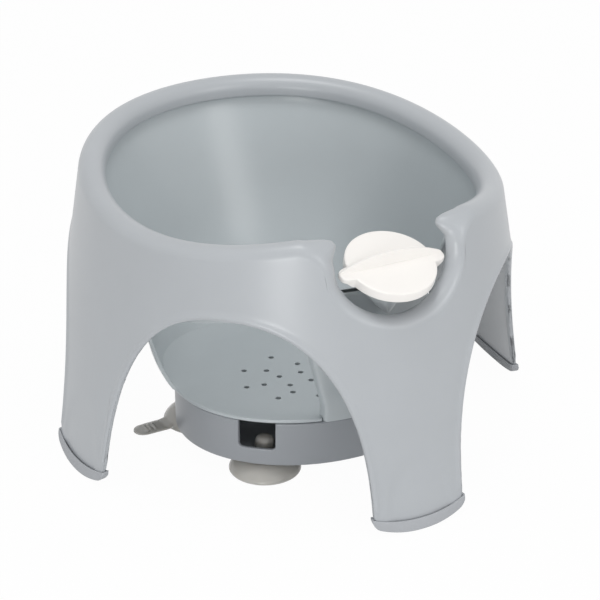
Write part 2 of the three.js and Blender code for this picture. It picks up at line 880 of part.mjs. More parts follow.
function cover_front() {
  return post_thickness - post_cover_thickness;
}

function post_back_cover() {
  const low = post_pocket_low + piece_gap;
  const high = post_pocket_high - piece_gap;
  const edge = post_pocket_edge + piece_gap;
  const across = post_pocket_across_shares;
  const plate = post_slab(low, high, across, edge, cover_front(), post_thickness);
  const boss_start = post_wall_thickness + overlap_depth + piece_gap;
  const boss_end = post_thickness - post_cover_thickness / 2;
  const bosses = post_screw_heights().map((z) => {
    return post_cylinder(post_cover_boss_radius, z, boss_start, boss_end, bore_steps);
  });
  const hole_end = post_screw_seat + post_screw_length;
  const holes = post_screw_heights().map((z) => {
    return post_cylinder(screw_shank_radius + piece_gap, z, 0, hole_end, screw_steps);
  });
  return without(joined([plate, ...bosses]), holes);
}

function post_screw_heights() {
  return [post_screw_low, post_screw_high];
}

// Level cylinder through the post, between two insets from its front face
function post_cylinder(radius, z, inset_low, inset_high, steps) {
  const profile = [[0, inset_low], [radius, inset_low], [radius, inset_high], [0, inset_high]];
  return turned(profile, steps, post_point(0, z, 0), point(0, 1, 0), point(1, 0, 0));
}

function post_screw(z) {
  const origin = post_point(0, z, post_screw_seat - piece_gap - screw_head_height);
  return turned(screw_profile(post_screw_length), screw_steps, origin, point(0, 1, 0), point(1, 0, 0));
}

// Front face of the post at its top edge, which carries the knob
function post_front() {
  return post_point(0, post_top, 0).y;
}

// Frame of the lock knob: up its axis and across it towards the child
function knob_frame() {
  const tilt = radians(knob_tilt);
  return {
    centre: point(0, post_front() - knob_reach, notch_centre_height - knob_drop),
    up: point(0, -Math.sin(tilt), Math.cos(tilt)),
    back: point(0, Math.cos(tilt), Math.sin(tilt)),
  };
}

function on_knob_axis(profile, steps) {
  const { centre, up } = knob_frame();
  return turned(profile, steps, centre, up, point(1, 0, 0));
}

function head_depth() {
  return stem_depth - piece_gap;
}

function post_head() {
  const low = -head_depth();
  const top = -knob_hub_depth - piece_gap;
  return on_knob_axis([[0, low], [head_radius, low], [head_radius, top], [0, top]], bore_steps);
}

function post_gusset() {
  return loft(gusset_shares.map(({ rise, width, reach }) => {
    const z = mix(gusset_low, gusset_top, rise);
    const half_width = gusset_half_width * width;
    const back = post_front() + gusset_root;
    const front = mix(back, post_front() - gusset_reach, reach);
    return [
      point(-half_width, back, z), point(-half_width / 2, front, z),
      point(half_width / 2, front, z), point(half_width, back, z),
    ];
  }));
}

// Tongue that drops inside the skirt of the base
function post_tenon() {
  const front = base_thickness + 3 * piece_gap - post_face_inset;
  return loft([post_foot_low - tenon_depth, post_foot_low + overlap_depth].map((z) => {
    return post_ring(z, tenon_half_width, post_across_shares, front, front + tenon_thickness);
  }));
}

function front_post() {
  const slab = post_slab(post_foot_low, post_top, post_across_shares, 0, 0, post_thickness);
  const pocket = post_slab(post_pocket_low, post_pocket_high, post_pocket_across_shares, post_pocket_edge,
    post_wall_thickness, post_thickness + overlap_depth);
  const hollow = slab.subtract(pocket);
  const bore_radius = stem_radius + running_gap;
  const pocket_low = -head_depth() - head_pocket_depth;
  const cutters = [
    on_knob_axis([[0, -stem_depth], [bore_radius, -stem_depth], [bore_radius, 0], [0, 0]], knob_steps),
    on_knob_axis([[0, pocket_low], [head_pocket_radius, pocket_low],
      [head_pocket_radius, -head_depth()], [0, -head_depth()]], bore_steps),
    ...post_screw_heights().flatMap((z) => [
      post_cylinder(screw_shank_radius + piece_gap, z, 0, post_thickness / 2, screw_steps),
      post_cylinder(screw_head_radius + piece_gap, z, -2 * overlap_depth, post_screw_seat, screw_steps),
    ]),
  ];
  return without(joined([hollow, post_tenon(), post_gusset(), post_head()]), cutters);
}

function knob_blade() {
  const { centre, up, back } = knob_frame();
  return loft(blade_shares.map(({ across, height, width, root }) => {
    const low = -blade_root * root;
    const high = blade_height * height;
    const half = blade_half_width * width;
    const edge = half * blade_edge_share;
    const corners = [[-half, low], [half, low], [edge, high], [-edge, high]];
    return corners.map(([aside, rise]) => centre.clone()
      .add(point(across * blade_reach, 0, 0))
      .addScaledVector(back, aside)
      .addScaledVector(up, rise));
  }));
}

function lock_knob() {
  const disc = on_knob_axis([
    [0, stem_screw_depth - stem_depth], [screw_shank_radius + piece_gap, stem_screw_depth - stem_depth],
    [screw_shank_radius + piece_gap, -stem_depth], [stem_radius, -stem_depth], [stem_radius, -knob_hub_depth],
    [knob_hub_radius, -knob_hub_depth], [knob_hub_radius, -knob_disc_thickness],
    [knob_radius - knob_skirt_thickness, -knob_disc_thickness],
    [knob_radius - knob_skirt_thickness, -knob_skirt_depth], [knob_radius, -knob_skirt_depth],
    [knob_radius, -knob_edge_round], [knob_radius - knob_edge_round, 0],
    [knob_radius / 2, knob_crown * knob_edge_round], [0, knob_crown],
  ], knob_steps);
  return disc.add(knob_blade());
}

function washer_low() {
  return -stem_depth - piece_gap - washer_thickness;
}

function knob_washer() {
  const hole = screw_shank_radius + piece_gap;
  const low = washer_low();
  const high = low + washer_thickness;
  const disc = on_knob_axis([[0, low], [washer_radius, low], [washer_radius, high], [0, high]], bore_steps);
  const under = low - overlap_depth;
  const over = high + overlap_depth;
  return disc.subtract(on_knob_axis([[0, under], [hole, under], [hole, over], [0, over]], bore_steps));
}

function knob_screw() {
  const { centre, up } = knob_frame();
  const origin = centre.clone().addScaledVector(up, washer_low() - piece_gap - screw_head_height);
  return turned(screw_profile(knob_screw_length), screw_steps, origin, up, point(1, 0, 0));
}

// Colours and surfaces
const shell_look = { color: 0xa9adb2, roughness: 0.35, metalness: 0 };
const bucket_look = { color: 0xa4adb4, roughness: 0.3, metalness: 0 };
const pad_look = { color: 0x9fa3a8, roughness: 0.6, metalness: 0 };
const base_look = { color: 0x9ca5ac, roughness: 0.4, metalness: 0 };
const cup_look = { color: 0xb8b6b0, roughness: 0.25, metalness: 0 };
const knob_look = { color: 0xf6f5f0, roughness: 0.35, metalness: 0 };
const steel_look = { color: 0xb4b6b8, roughness: 0.35, metalness: 0.9 };

function piece(name, body, look) {
  const mesh = body.getMesh();
  const geometry = new THREE.BufferGeometry();
  geometry.setAttribute("position", new THREE.BufferAttribute(new Float32Array(mesh.vertProperties), 3));
  geometry.setIndex(new THREE.BufferAttribute(new Uint32Array(mesh.triVerts), 1));
  geometry.computeVertexNormals();
  const made = new THREE.Mesh(geometry, new THREE.MeshStandardMaterial(look));
  made.name = name;
  return made;
}

const seat = new THREE.Group();
seat.name = "baby_bath_seat";
seat.add(piece("outer_shell", outer_shell(), shell_look));
seat.add(piece("seat_bucket", seat_bucket(), bucket_look));
Object.entries(leg_spans()).forEach(([name, [first, last]]) => {
  seat.add(piece(`${name}_foot_pad`, foot_pad(first, last), pad_look));
});
seat.add(piece("seat_base", seat_base(), base_look));
seat.add(piece("base_plate", base_plate(), base_look));

const cup_names = ["front_left", "front_right", "rear_left", "rear_right"];
cup_places().forEach((place, index) => {
  seat.add(piece(`suction_cup_${cup_names[index]}`, suction_cup(place), cup_look));
});

base_screw_places().forEach(([x, y], index) => {
  const body = upright_screw(x, y, base_low, base_screw_length);
  seat.add(piece(`base_screw_${cup_names[index]}`, body, steel_look));
});

const rim_names = ["right", "rear", "left"];
rim_fixings().forEach(({ x, y, lug_low }, index) => {
  const body = upright_screw(x, y, lug_low - piece_gap, rim_screw_length);
  seat.add(piece(`rim_screw_${rim_names[index]}`, body, steel_look));
});

seat.add(piece("front_post", front_post(), bucket_look));
seat.add(piece("post_back_cover", post_back_cover(), bucket_look));
const post_screw_names = ["low", "high"];
post_screw_heights().forEach((z, index) => {
  seat.add(piece(`post_screw_${post_screw_names[index]}`, post_screw(z), steel_look));
});
seat.add(piece("lock_knob", lock_knob(), knob_look));
seat.add(piece("knob_washer", knob_washer(), steel_look));
seat.add(piece("knob_screw", knob_screw(), steel_look));

export default seat;
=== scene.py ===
"""Baby bath seat: a shell on four legs, a seat bucket, a base on suction cups and a lift-out front post."""

import functools
import math

import bmesh
import bpy
import numpy as np
from bpy.props import FloatProperty, FloatVectorProperty, PointerProperty
from mathutils import Matrix, Vector, kdtree


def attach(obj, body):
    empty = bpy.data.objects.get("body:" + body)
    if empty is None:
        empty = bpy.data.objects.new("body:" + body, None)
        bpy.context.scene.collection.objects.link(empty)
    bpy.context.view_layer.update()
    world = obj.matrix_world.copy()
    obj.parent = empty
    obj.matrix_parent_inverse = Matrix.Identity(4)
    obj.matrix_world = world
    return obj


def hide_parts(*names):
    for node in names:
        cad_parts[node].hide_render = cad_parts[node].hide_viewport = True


bl_info = {
    "name": "Baby bath seat",
    "version": (1, 0, 0),
    "blender": (4, 5, 0),
    "location": "3D View > Sidebar > Bath seat",
    "description": "Builds a baby bath seat piece by piece over its packed frame",
    "category": "Object",
}

MM = 0.001
UPRIGHT, ACROSS = np.array([0, 0, 1.0]), np.array([1.0, 0, 0])
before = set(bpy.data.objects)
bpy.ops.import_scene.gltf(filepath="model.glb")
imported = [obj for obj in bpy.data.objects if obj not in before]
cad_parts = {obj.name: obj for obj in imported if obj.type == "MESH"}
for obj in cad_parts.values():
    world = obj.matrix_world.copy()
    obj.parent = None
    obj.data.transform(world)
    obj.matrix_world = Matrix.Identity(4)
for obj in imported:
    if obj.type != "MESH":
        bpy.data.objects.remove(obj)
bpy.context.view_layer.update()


# Sizes and colours that a user would change


def length(name, description, millimetres):
    """Length that is given in millimetres and kept in metres."""
    return FloatProperty(name=name, description=description, default=millimetres * MM, min=0,
                         soft_max=0.4, precision=4, unit="LENGTH")


def turn(name, description, degrees):
    """Angle that is given in degrees and kept in radians."""
    return FloatProperty(name=name, description=description, default=math.radians(degrees),
                         subtype="ANGLE", unit="ROTATION")


def share(name, description, default):
    return FloatProperty(name=name, description=description, default=default, min=0, max=1,
                         subtype="FACTOR")


def linear(level):
    """Linear light of a display level of 0 to 255."""
    level = level / 255
    return level / 12.92 if level <= 0.04045 else ((level + 0.055) / 1.055) ** 2.4


def colour(name, description, red, green, blue):
    return FloatVectorProperty(name=name, description=description, size=4, subtype="COLOR",
                               default=(linear(red), linear(green), linear(blue), 1), min=0, max=1)


class ShellSizes(bpy.types.PropertyGroup):
    floor_x: length("Floor reach across", "Reach of the legs to each side at the floor", 173)
    floor_y: length("Floor reach along", "Reach of the legs to the front and rear at the floor", 187)
    rim_x: length("Rim reach across", "Reach of the roll's centre to each side", 135)
    rim_y: length("Rim reach along", "Reach of the roll's centre to the front and rear", 142.5)
    rim_front: length("Rim height at the front", "Height of the roll's centre over the notch", 190)
    rim_quarter: length("Rim height between", "Height of the roll's centre between front and side", 178)
    rim_side: length("Rim height at the sides", "Height of the roll's centre at the sides", 177)
    rim_rear: length("Rim height at the rear", "Height of the roll's centre at the rear", 195)
    roll_radius: length("Roll radius", "Outer radius of the rolled rim", 9.5)
    wall: length("Wall thickness", "Thickness of the shell's wall", 3)
    lip: length("Lip depth", "How far the roll's inner lip hangs down", 5)
    foot: length("Foot height", "Height of the wall's lower end in the middle of each foot pad", 2.5)
    arch_height: length("Arch height", "Height of the four arches between the legs", 142)
    front_arch: turn("Front arch angle", "Middle of each front arch, from the front", 43.6)
    front_half: turn("Front arch half angle", "Half the spread of each front arch", 32.3)
    rear_arch: turn("Rear arch angle", "Middle of each rear arch, from the front", 132.9)
    rear_half: turn("Rear arch half angle", "Half the spread of each rear arch", 35.8)
    arch_width_power: FloatProperty(name="Arch width power", default=2.31, min=1, max=6,
                                    description="How square the sides of an arch are")
    arch_height_power: FloatProperty(name="Arch height power", default=2.48, min=1, max=6,
                                     description="How square the top of an arch is")
    bead: length("Bead radius", "Radius of the thick edge round each arch", 2.4)
    bead_fade: length("Bead fade", "Width over which the bead runs out into the wall", 3.5)
    notch_half: length("Notch half width", "Half the width of the notch's centre line", 47.5)
    notch_centre: length("Notch centre height", "Height where the notch is widest", 172)
    notch_bottom: length("Notch bottom height", "Lowest height of the notch's centre line", 131.5)
    notch_corner: length("Notch corner reach", "Width of the turn from the rim into the notch", 13.5)
    notch_narrow: share("Notch roll narrowing", "How much the roll narrows inwards beside the notch", 0.72)
    notch_thin: share("Notch roll thinning", "How much the roll's height falls beside the notch", 0.3)
    horn_x: length("Horn across", "Distance of the horns' root from the middle", 43.5)
    horn_y: length("Horn forward", "Distance of the horns' root to the front", 130)
    horn_z: length("Horn height", "Height of the horns' root", 191)
    horn_pull: length("Horn length", "How far the horns stand into the notch", 12)
    dish: length("Leg dish depth", "Depth of the shallow dish low on each leg", 0.9)
    pad_height: length("Foot pad height", "Height of the rubber foot pads", 8)
    pad_lip: length("Foot pad lip", "How far the pads stand out from the wall", 1.3)
    foot_corner: length("Foot corner", "Radius of the lower corners of each leg", 4)
    foot_rise: length("Foot rise", "How far a leg's foot curves up towards its corners", 7)


class BucketSizes(bpy.types.PropertyGroup):
    floor: length("Pan floor height", "Height of the middle of the pan's sheet", 45)
    pan_x: length("Pan reach across", "Reach of the pan to each side", 98)
    pan_y: length("Pan reach along", "Reach of the pan to the front and rear", 80.5)
    pan_forward: length("Pan forward shift", "How far the pan's middle stands forward", 28)
    bowl_height: length("Bowl height", "Height where the bowl meets the straight back", 81)
    bowl_x: length("Bowl reach across", "Reach of the bowl to each side", 112)
    bowl_y: length("Bowl reach along", "Reach of the bowl to the front and rear", 100)
    bowl_forward: length("Bowl forward shift", "How far the bowl's middle stands forward", 14)
    band_x: length("Band reach across", "Reach of the band under the rim to each side", 132.4)
    band_y: length("Band reach along", "Reach of the band to the front and rear", 139.9)
    thickness: length("Thickness", "Thickness of the bucket's sheet", 2.5)
    hole: length("Drain hole radius", "Radius of the drain holes in the pan", 2)


class BaseSizes(bpy.types.PropertyGroup):
    low: length("Skirt low", "Height of the skirt's lower edge", 13)
    high: length("Skirt high", "Height of the skirt's upper edge", 45.1)
    thickness: length("Skirt thickness", "Thickness of the skirt", 3)
    window_low: length("Window low", "Height of the lower edge of the windows", 25)
    window_angle: turn("Window angle", "Middle of each front window, from the front", 45.7)
    window_half: turn("Window half angle", "Half the spread of a window", 8.3)
    window_corner: length("Window corner", "Radius of a window's lower corners", 3)
    cup_front_x: length("Front cup across", "Distance of the front cups from the middle", 57)
    cup_front_y: length("Front cup forward", "Distance of the front cups to the front", 71)
    cup_rear_x: length("Rear cup across", "Distance of the rear cups from the middle", 69)
    cup_rear_y: length("Rear cup back", "Distance of the rear cups to the rear", 12)
    cup_radius: length("Cup radius", "Radius of a suction cup", 25)
    tab_reach: length("Tab reach", "Reach of a cup's pull tab from its middle", 50)
    tab_half: length("Tab half width", "Half the width of a pull tab", 7.8)


class PostSizes(bpy.types.PropertyGroup):
    foot: length("Post foot", "Height of the post's lower end", 43.3)
    top: length("Post top", "Height of the post's upper end", 150)
    half_width: length("Post half width", "Half the post's greatest width", 42)
    thickness: length("Post thickness", "Depth of the post from front to back", 10)
    round: length("Post rounding", "Radius of the post's edges", 2.6)
    knob_forward: length("Knob forward", "Distance of the knob's middle to the front", 138)
    knob_height: length("Knob height", "Height of the knob's middle", 171)
    knob_tilt: turn("Knob tilt", "Tilt of the knob's axis to the front", 19)
    knob_radius: length("Knob radius", "Radius of the lock knob", 30)
    knob_skirt: length("Knob skirt", "Depth of the knob's skirt", 7)
    blade_reach: length("Blade reach", "Half the length of the knob's blade", 37.4)
    blade_height: length("Blade height", "Height of the knob's blade", 9.2)


class ScrewSizes(bpy.types.PropertyGroup):
    head_radius: length("Head radius", "Radius of a screw's head", 3.6)
    head_height: length("Head height", "Height of a screw's head", 2.2)
    shank_radius: length("Shank radius", "Radius of a screw's shank", 1.5)
    recess: length("Recess width", "Width of each slot of the cross recess", 0.9)


class Colours(bpy.types.PropertyGroup):
    shell: colour("Shell", "Grey plastic of the outer shell", 175, 179, 183)
    bucket: colour("Bucket", "Cool grey plastic of the bucket and post", 180, 187, 190)
    pad: colour("Foot pads", "Grey rubber of the foot pads", 170, 173, 177)
    base: colour("Base", "Grey plastic of the seat base", 150, 154, 159)
    cup: colour("Suction cups", "Milky grey rubber of the suction cups", 186, 184, 179)
    knob: colour("Lock knob", "Warm white plastic of the lock knob", 243, 240, 236)
    steel: colour("Steel", "Bright steel of the screws and washer", 196, 197, 199)


class BathSeat(bpy.types.PropertyGroup):
    shell: PointerProperty(type=ShellSizes)
    bucket: PointerProperty(type=BucketSizes)
    base: PointerProperty(type=BaseSizes)
    post: PointerProperty(type=PostSizes)
    screws: PointerProperty(type=ScrewSizes)
    colours: PointerProperty(type=Colours)


# Lines, sheets and meshes


def softened(line, rounds):
    """A line of points with its corners cut, so that it runs smoothly."""
    for _ in range(rounds):
        first, second = line[:-1], line[1:]
        cut = np.stack([0.75 * first + 0.25 * second, 0.25 * first + 0.75 * second], 1)
        line = np.concatenate([line[:1], cut.reshape(-1, line.shape[1]), line[-1:]])
    return line


def spaced(line, reach, spacing):
    """Angles at even lengths along an edge that is given as (angle, height) pairs."""
    lengths = np.hypot(np.diff(line[:, 0]) * reach, np.diff(line[:, 1]))
    along = np.concatenate([[0], np.cumsum(lengths)])
    count = int(along[-1] / spacing) + 2
    return np.interp(np.linspace(0, along[-1], count), along, line[:, 0])


def steps(*millimetres):
    """Millimetres as an array of metres."""
    return np.array(millimetres) * MM


def both_sides(angles):
    """Angles to the left and to the right of the front."""
    return np.concatenate([-angles, angles])


def ordered(parts, closest):
    """All the angles in order, without those nearer than closest to the one before."""
    angles = np.unique(np.concatenate(parts))
    return angles[np.concatenate([[True], np.diff(angles) > closest])]


def wrapped(angle):
    """The same angle between minus half a turn and half a turn."""
    return (angle + np.pi) % (2 * np.pi) - np.pi


def from_front(angles):
    """Angles of a whole turn as angles from the front, the same on both sides."""
    return np.where(angles > np.pi, 2 * np.pi - angles, angles)


def distance_to(points, line):
    """Distance from every point to the nearest point of a line."""
    tree = kdtree.KDTree(len(line))
    for index, corner in enumerate(line):
        tree.insert(corner, index)
    tree.balance()
    flat = points.reshape(-1, 3)
    return np.array([tree.find(corner)[2] for corner in flat]).reshape(points.shape[:-1])


def rounded(distance, radius, half):
    """Half thickness of a sheet at a distance from its rounded edge."""
    inside = np.clip(radius - distance, 0, radius)
    return half - radius + np.sqrt(radius ** 2 - inside ** 2)


def eased(value, start, end):
    """0 before start, 1 after end and a smooth rise between."""
    part = np.clip((value - start) / (end - start), 0, 1)
    return part * part * (3 - 2 * part)


def sheet_faces(points, wrap_rows, wrap_columns, offset):
    """Quads between the points of a grid, numbered from offset."""
    rows, columns = points.shape[:2]
    row = np.arange(rows if wrap_rows else rows - 1)[:, None]
    column = np.arange(columns if wrap_columns else columns - 1)[None, :]
    here, over = row * columns, (row + 1) % rows * columns
    side = (column + 1) % columns
    faces = np.stack([here + column, here + side, over + side, over + column], -1)
    return faces.reshape(-1, 4) + offset


def sheet_mesh(name, sheets):
    """Mesh of sheets of (points, rows close, columns close) that meet at their edges."""
    points, faces, offset = [], [], 0
    for grid, wrap_rows, wrap_columns in sheets:
        faces.append(sheet_faces(grid, wrap_rows, wrap_columns, offset))
        points.append(grid.reshape(-1, 3))
        offset += grid.shape[0] * grid.shape[1]
    mesh = bpy.data.meshes.new(name)
    mesh.from_pydata(np.concatenate(points).tolist(), [], np.concatenate(faces).tolist())
    body = bmesh.new()
    body.from_mesh(mesh)
    bmesh.ops.remove_doubles(body, verts=body.verts, dist=0.002 * MM)
    bmesh.ops.dissolve_degenerate(body, edges=body.edges, dist=0.0005 * MM)
    bmesh.ops.recalc_face_normals(body, faces=body.faces)
    body.to_mesh(mesh)
    body.free()
    mesh.shade_smooth()
    return mesh


def closed_mesh(name, grid):
    """Mesh of one sheet that closes round and whose first and last rows are each one point."""
    return sheet_mesh(name, [(grid, False, True)])


def capped_mesh(name, outlines):
    """Closed mesh through equal outlines of points, with flat ends."""
    grid = np.array(outlines)
    ends = [np.repeat(grid[k:k + 1].mean(1, keepdims=True), grid.shape[1], 1) for k in (0, -1)]
    return closed_mesh(name, np.concatenate([ends[0], grid, ends[1]]))


def add_object(name, mesh):
    made = bpy.data.objects.new(name, mesh)
    bpy.context.scene.collection.objects.link(made)
    return made


def finished(obj):
    """The plain mesh that an object's modifiers make, in a new object of the same name."""
    depsgraph = bpy.context.evaluated_depsgraph_get()
    mesh = bpy.data.meshes.new_from_object(obj.evaluated_get(depsgraph))
    name = obj.name
    bpy.data.objects.remove(obj)
    mesh.name = name
    return add_object(name, mesh)


def place(obj, body, material, slot, *nodes):
    """Gives a piece its finish, the body it rides on and the nodes it stands for."""
    obj.data.materials.clear()
    obj.data.materials.append(material)
    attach(obj, body)
    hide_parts(*nodes)


def lathe(profile, steps, origin, along, across):
    """Sheet round a straight axis through (radius, distance) pairs."""
    angles = np.linspace(0, 2 * np.pi, steps, endpoint=False)[None, :, None]
    third = np.cross(along, across)
    radius, distance = profile[:, 0][:, None, None], profile[:, 1][:, None, None]
    return origin + distance * along + radius * (np.cos(angles) * across + np.sin(angles) * third)


def filleted(corners, radius, steps=5):
    """Profile with each inner corner rounded to a radius."""
    corners = np.array(corners, float)
    made = [corners[0]]
    for before, corner, after in zip(corners, corners[1:], corners[2:]):
        back, ahead = before - corner, after - corner
        reach = min(radius, 0.45 * np.linalg.norm(back), 0.45 * np.linalg.norm(ahead))
        start = corner + reach * back / np.linalg.norm(back)
        end = corner + reach * ahead / np.linalg.norm(ahead)
        for part in np.linspace(0, 1, steps):
            made.append((1 - part) ** 2 * start + 2 * part * (1 - part) * corner + part ** 2 * end)
    return np.array(made + [corners[-1]])


# Outer shell


def rim_height(s, angle):
    """Height of the roll's centre at an angle from the front."""
    ends = (s.rim_front + s.rim_rear) / 2
    level = (ends + s.rim_side) / 2
    tilt = (s.rim_front - s.rim_rear) / 2
    sag = (s.rim_quarter - level) * math.sqrt(2)
    return (level + (tilt + sag) / 2 * np.cos(angle) + (ends - s.rim_side) / 2 * np.cos(2 * angle)
            + (tilt - sag) / 2 * np.cos(3 * angle))


def wall_point(s, angle, height, inset):
    """Point of the shell's wall, inset from its outer face."""
    rise = height / rim_height(s, angle)
    reach_x = s.floor_x + (s.rim_x + s.roll_radius - s.floor_x) * rise - inset
    reach_y = s.floor_y + (s.rim_y + s.roll_radius - s.floor_y) * rise - inset
    upright = height + 0 * reach_x
    return np.stack([reach_x * np.sin(angle), -reach_y * np.cos(angle), upright], -1)


def foot_lift(s, off):
    """Rise of a foot's lower edge, by the share of the way from its middle to a corner."""
    return s.foot_rise * np.clip(np.abs(off), 0, 1) ** 2.2


def arch_line(s, middle, half, legs):
    """Edge of an arch as (angle, height) pairs, with a leg's lower corner at each end.

    legs holds the half angles of the legs before and after the arch.
    """
    part = np.linspace(-np.pi / 2, np.pi / 2, 2401)
    across = np.sign(part) * np.abs(np.sin(part)) ** (2 / s.arch_width_power)
    up = np.abs(np.cos(part)) ** (2 / s.arch_height_power)
    low = s.foot + s.foot_corner + s.foot_rise
    arch = np.stack([half * across, np.maximum(s.arch_height * up, low)], 1)
    part = np.linspace(0, np.pi / 2, 60)[:-1]
    inward = s.foot_corner * (1 - np.sin(part)) / s.floor_x
    corners = []
    for side, leg in zip((-1, 1), legs):
        height = low - s.foot_corner * np.cos(part) - s.foot_rise + foot_lift(s, 1 - inward / leg)
        corners.append(np.stack([side * (half + inward), height], 1))
    return np.concatenate([corners[0], arch, corners[1][::-1]]) + [middle, 0]


def arches(s):
    """Edges of the four arches."""
    front, side, rear, _ = [half for _, half in leg_middles(s)]
    return [arch_line(s, -s.front_arch, s.front_half, (side, front)),
            arch_line(s, -s.rear_arch, s.rear_half, (rear, side)),
            arch_line(s, s.front_arch, s.front_half, (front, side)),
            arch_line(s, s.rear_arch, s.rear_half, (side, rear))]


def notch_line(s):
    """Centre line of the roll down one side of the notch and up the other."""
    corner_x = s.notch_half + s.notch_corner
    rise = rim_height(s, math.asin(corner_x / s.rim_x)) - s.notch_centre
    part = np.linspace(0, np.pi / 2, 400)
    corner = np.stack([-corner_x + s.notch_corner * np.sin(part),
                       s.notch_centre + rise * np.cos(part)], 1)
    part = np.linspace(0, np.pi / 2, 700)[1:]
    low = np.stack([-s.notch_half * np.cos(part),
                    s.notch_centre - (s.notch_centre - s.notch_bottom) * np.sin(part)], 1)
    left = np.concatenate([corner, low])
    line = np.concatenate([left, (left * [-1, 1])[-2::-1]])
    angle = np.zeros(len(line))
    for _ in range(12):
        rise = line[:, 1] / rim_height(s, angle)
        reach = s.floor_x + (s.rim_x + s.roll_radius - s.floor_x) * rise - s.roll_radius
        angle = np.arcsin(line[:, 0] / reach)
    return np.stack([angle, line[:, 1]], 1)


def roll_line(s):
    """Centre line of the roll right round, rim and notch, with its frames."""
    notch = notch_line(s)
    rim = np.linspace(notch[-1, 0], 2 * np.pi + notch[0, 0], 2000)[1:-1]
    rim = np.stack([rim, rim_height(s, rim)], 1)
    line = np.concatenate([notch, rim])
    centre = wall_point(s, line[:, 0], line[:, 1], s.roll_radius)
    along = np.roll(centre, -3, 0) - np.roll(centre, 3, 0)
    along /= np.linalg.norm(along, axis=1)[:, None]
    out = wall_point(s, line[:, 0], line[:, 1], 0) - centre
    up = np.cross(out, along)
    up /= np.linalg.norm(up, axis=1)[:, None]
    out = np.cross(along, up)
    table = np.concatenate([line, centre, out, up], 1)
    turned = table[len(notch):].copy()
    turned[:, 0] -= 2 * np.pi
    table = np.concatenate([turned, table])
    return table[np.argsort(table[:, 0], kind="stable")]


def leg_middles(s):
    """Middle angle and half angle of the front, right, rear and left leg."""
    side_low = s.front_arch + s.front_half
    side_high = s.rear_arch - s.rear_half
    side, half = (side_low + side_high) / 2, (side_high - side_low) / 2
    rear_half = math.pi - s.rear_arch - s.rear_half
    return [(0, s.front_arch - s.front_half), (side, half), (math.pi, rear_half), (-side, half)]


def leg_reach(s):
    """Radius that turns lengths along a foot into angles."""
    return s.floor_x + 0.007


def shell_columns(s, edges, notch):
    """Angles of the shell's columns: close along every edge and inside it."""
    inside = steps(0.08, 0.2, 0.4, 0.65, 1, 1.4, 1.9, 2.5, 3.2, 4, 5.2, 6.8, 9, 12, 16, 20, 25)
    arch_reach, arch_step, notch_step = s.rim_x + 0.025, 4.2 * MM, 2.4 * MM
    parts = [spaced(edge, arch_reach, arch_step) for edge in edges]
    parts.append(spaced(notch, s.rim_x, notch_step))
    for middle, half in leg_middles(s):
        for side in (-1, 1):
            near = middle + side * (half - inside / leg_reach(s))
            parts.append(near[(near - middle) * side > 0])
    parts.append(np.linspace(-np.pi, np.pi, 181)[:-1])
    return ordered([wrapped(np.concatenate(parts))], 0.00002)


def lowest_edge(s, edges, angles):
    """Height of the wall's lower edge at every angle."""
    low = np.full(len(angles), s.foot)
    for middle, half in leg_middles(s):
        off = wrapped(angles - middle) / half
        low = np.where(np.abs(off) <= 1, s.foot + foot_lift(s, off), low)
    for edge in edges:
        height = np.interp(angles, edge[:, 0], edge[:, 1], left=0, right=0)
        low = np.maximum(low, height)
    return low


def leg_dish(s, angle, height):
    """Shallow dish with an arched top, low on the outer face of each leg."""
    width_share, high, low, slope = 0.78, 0.046, 0.009, 0.012
    depth = 0
    for middle, half in leg_middles(s):
        across = np.abs(wrapped(angle - middle)) / (half * width_share)
        top = high * np.sqrt(np.clip(1 - across ** 2, 0, 1)) - (height - low)
        depth = np.maximum(depth, eased(top, 0, slope) * eased(1.02 - across, 0, 0.3))
    return s.dish * depth


def shell_walls(s, edges, angles, low, top):
    """Outer and inner face of the wall, drawn together to a bead round the arches."""
    near = steps(0, 0.1, 0.25, 0.5, 0.8, 1.2, 1.7, 2.3, 3, 3.9, 5, 6.6, 8.8, 11.5, 15)[:, None]
    far = np.linspace(0, 1, 20)[1:, None]
    start = low + near[-1]
    height = np.concatenate([low + near, start + (top - start) * far])
    across = np.broadcast_to(angles, height.shape)
    middle = wall_point(s, across, height, s.wall / 2)
    line = np.concatenate([wall_point(s, edge[::4, 0], edge[::4, 1], s.wall / 2) for edge in edges])
    away = distance_to(middle, line)
    bead = np.sqrt(np.clip(s.bead ** 2 - np.clip(s.bead - away, 0, None) ** 2, 0, None))
    extra = (s.bead - s.wall / 2) * (1 - eased(away, s.bead, s.bead + s.bead_fade))
    half = np.where(away < s.bead, bead, s.wall / 2 + extra)
    plain = rounded(away, s.wall / 2, s.wall / 2)
    pad_top, blend = s.pad_height + s.foot_rise, 0.004
    half = plain + (half - plain) * eased(height, pad_top, pad_top + blend)
    half[0] = np.where(low <= s.foot + s.foot_rise, s.wall / 2, half[0])
    half[-1] = s.wall / 2
    outer = wall_point(s, across, height, s.wall / 2 - half + leg_dish(s, across, height))
    inner = wall_point(s, across, height, s.wall / 2 + half)
    return outer, inner


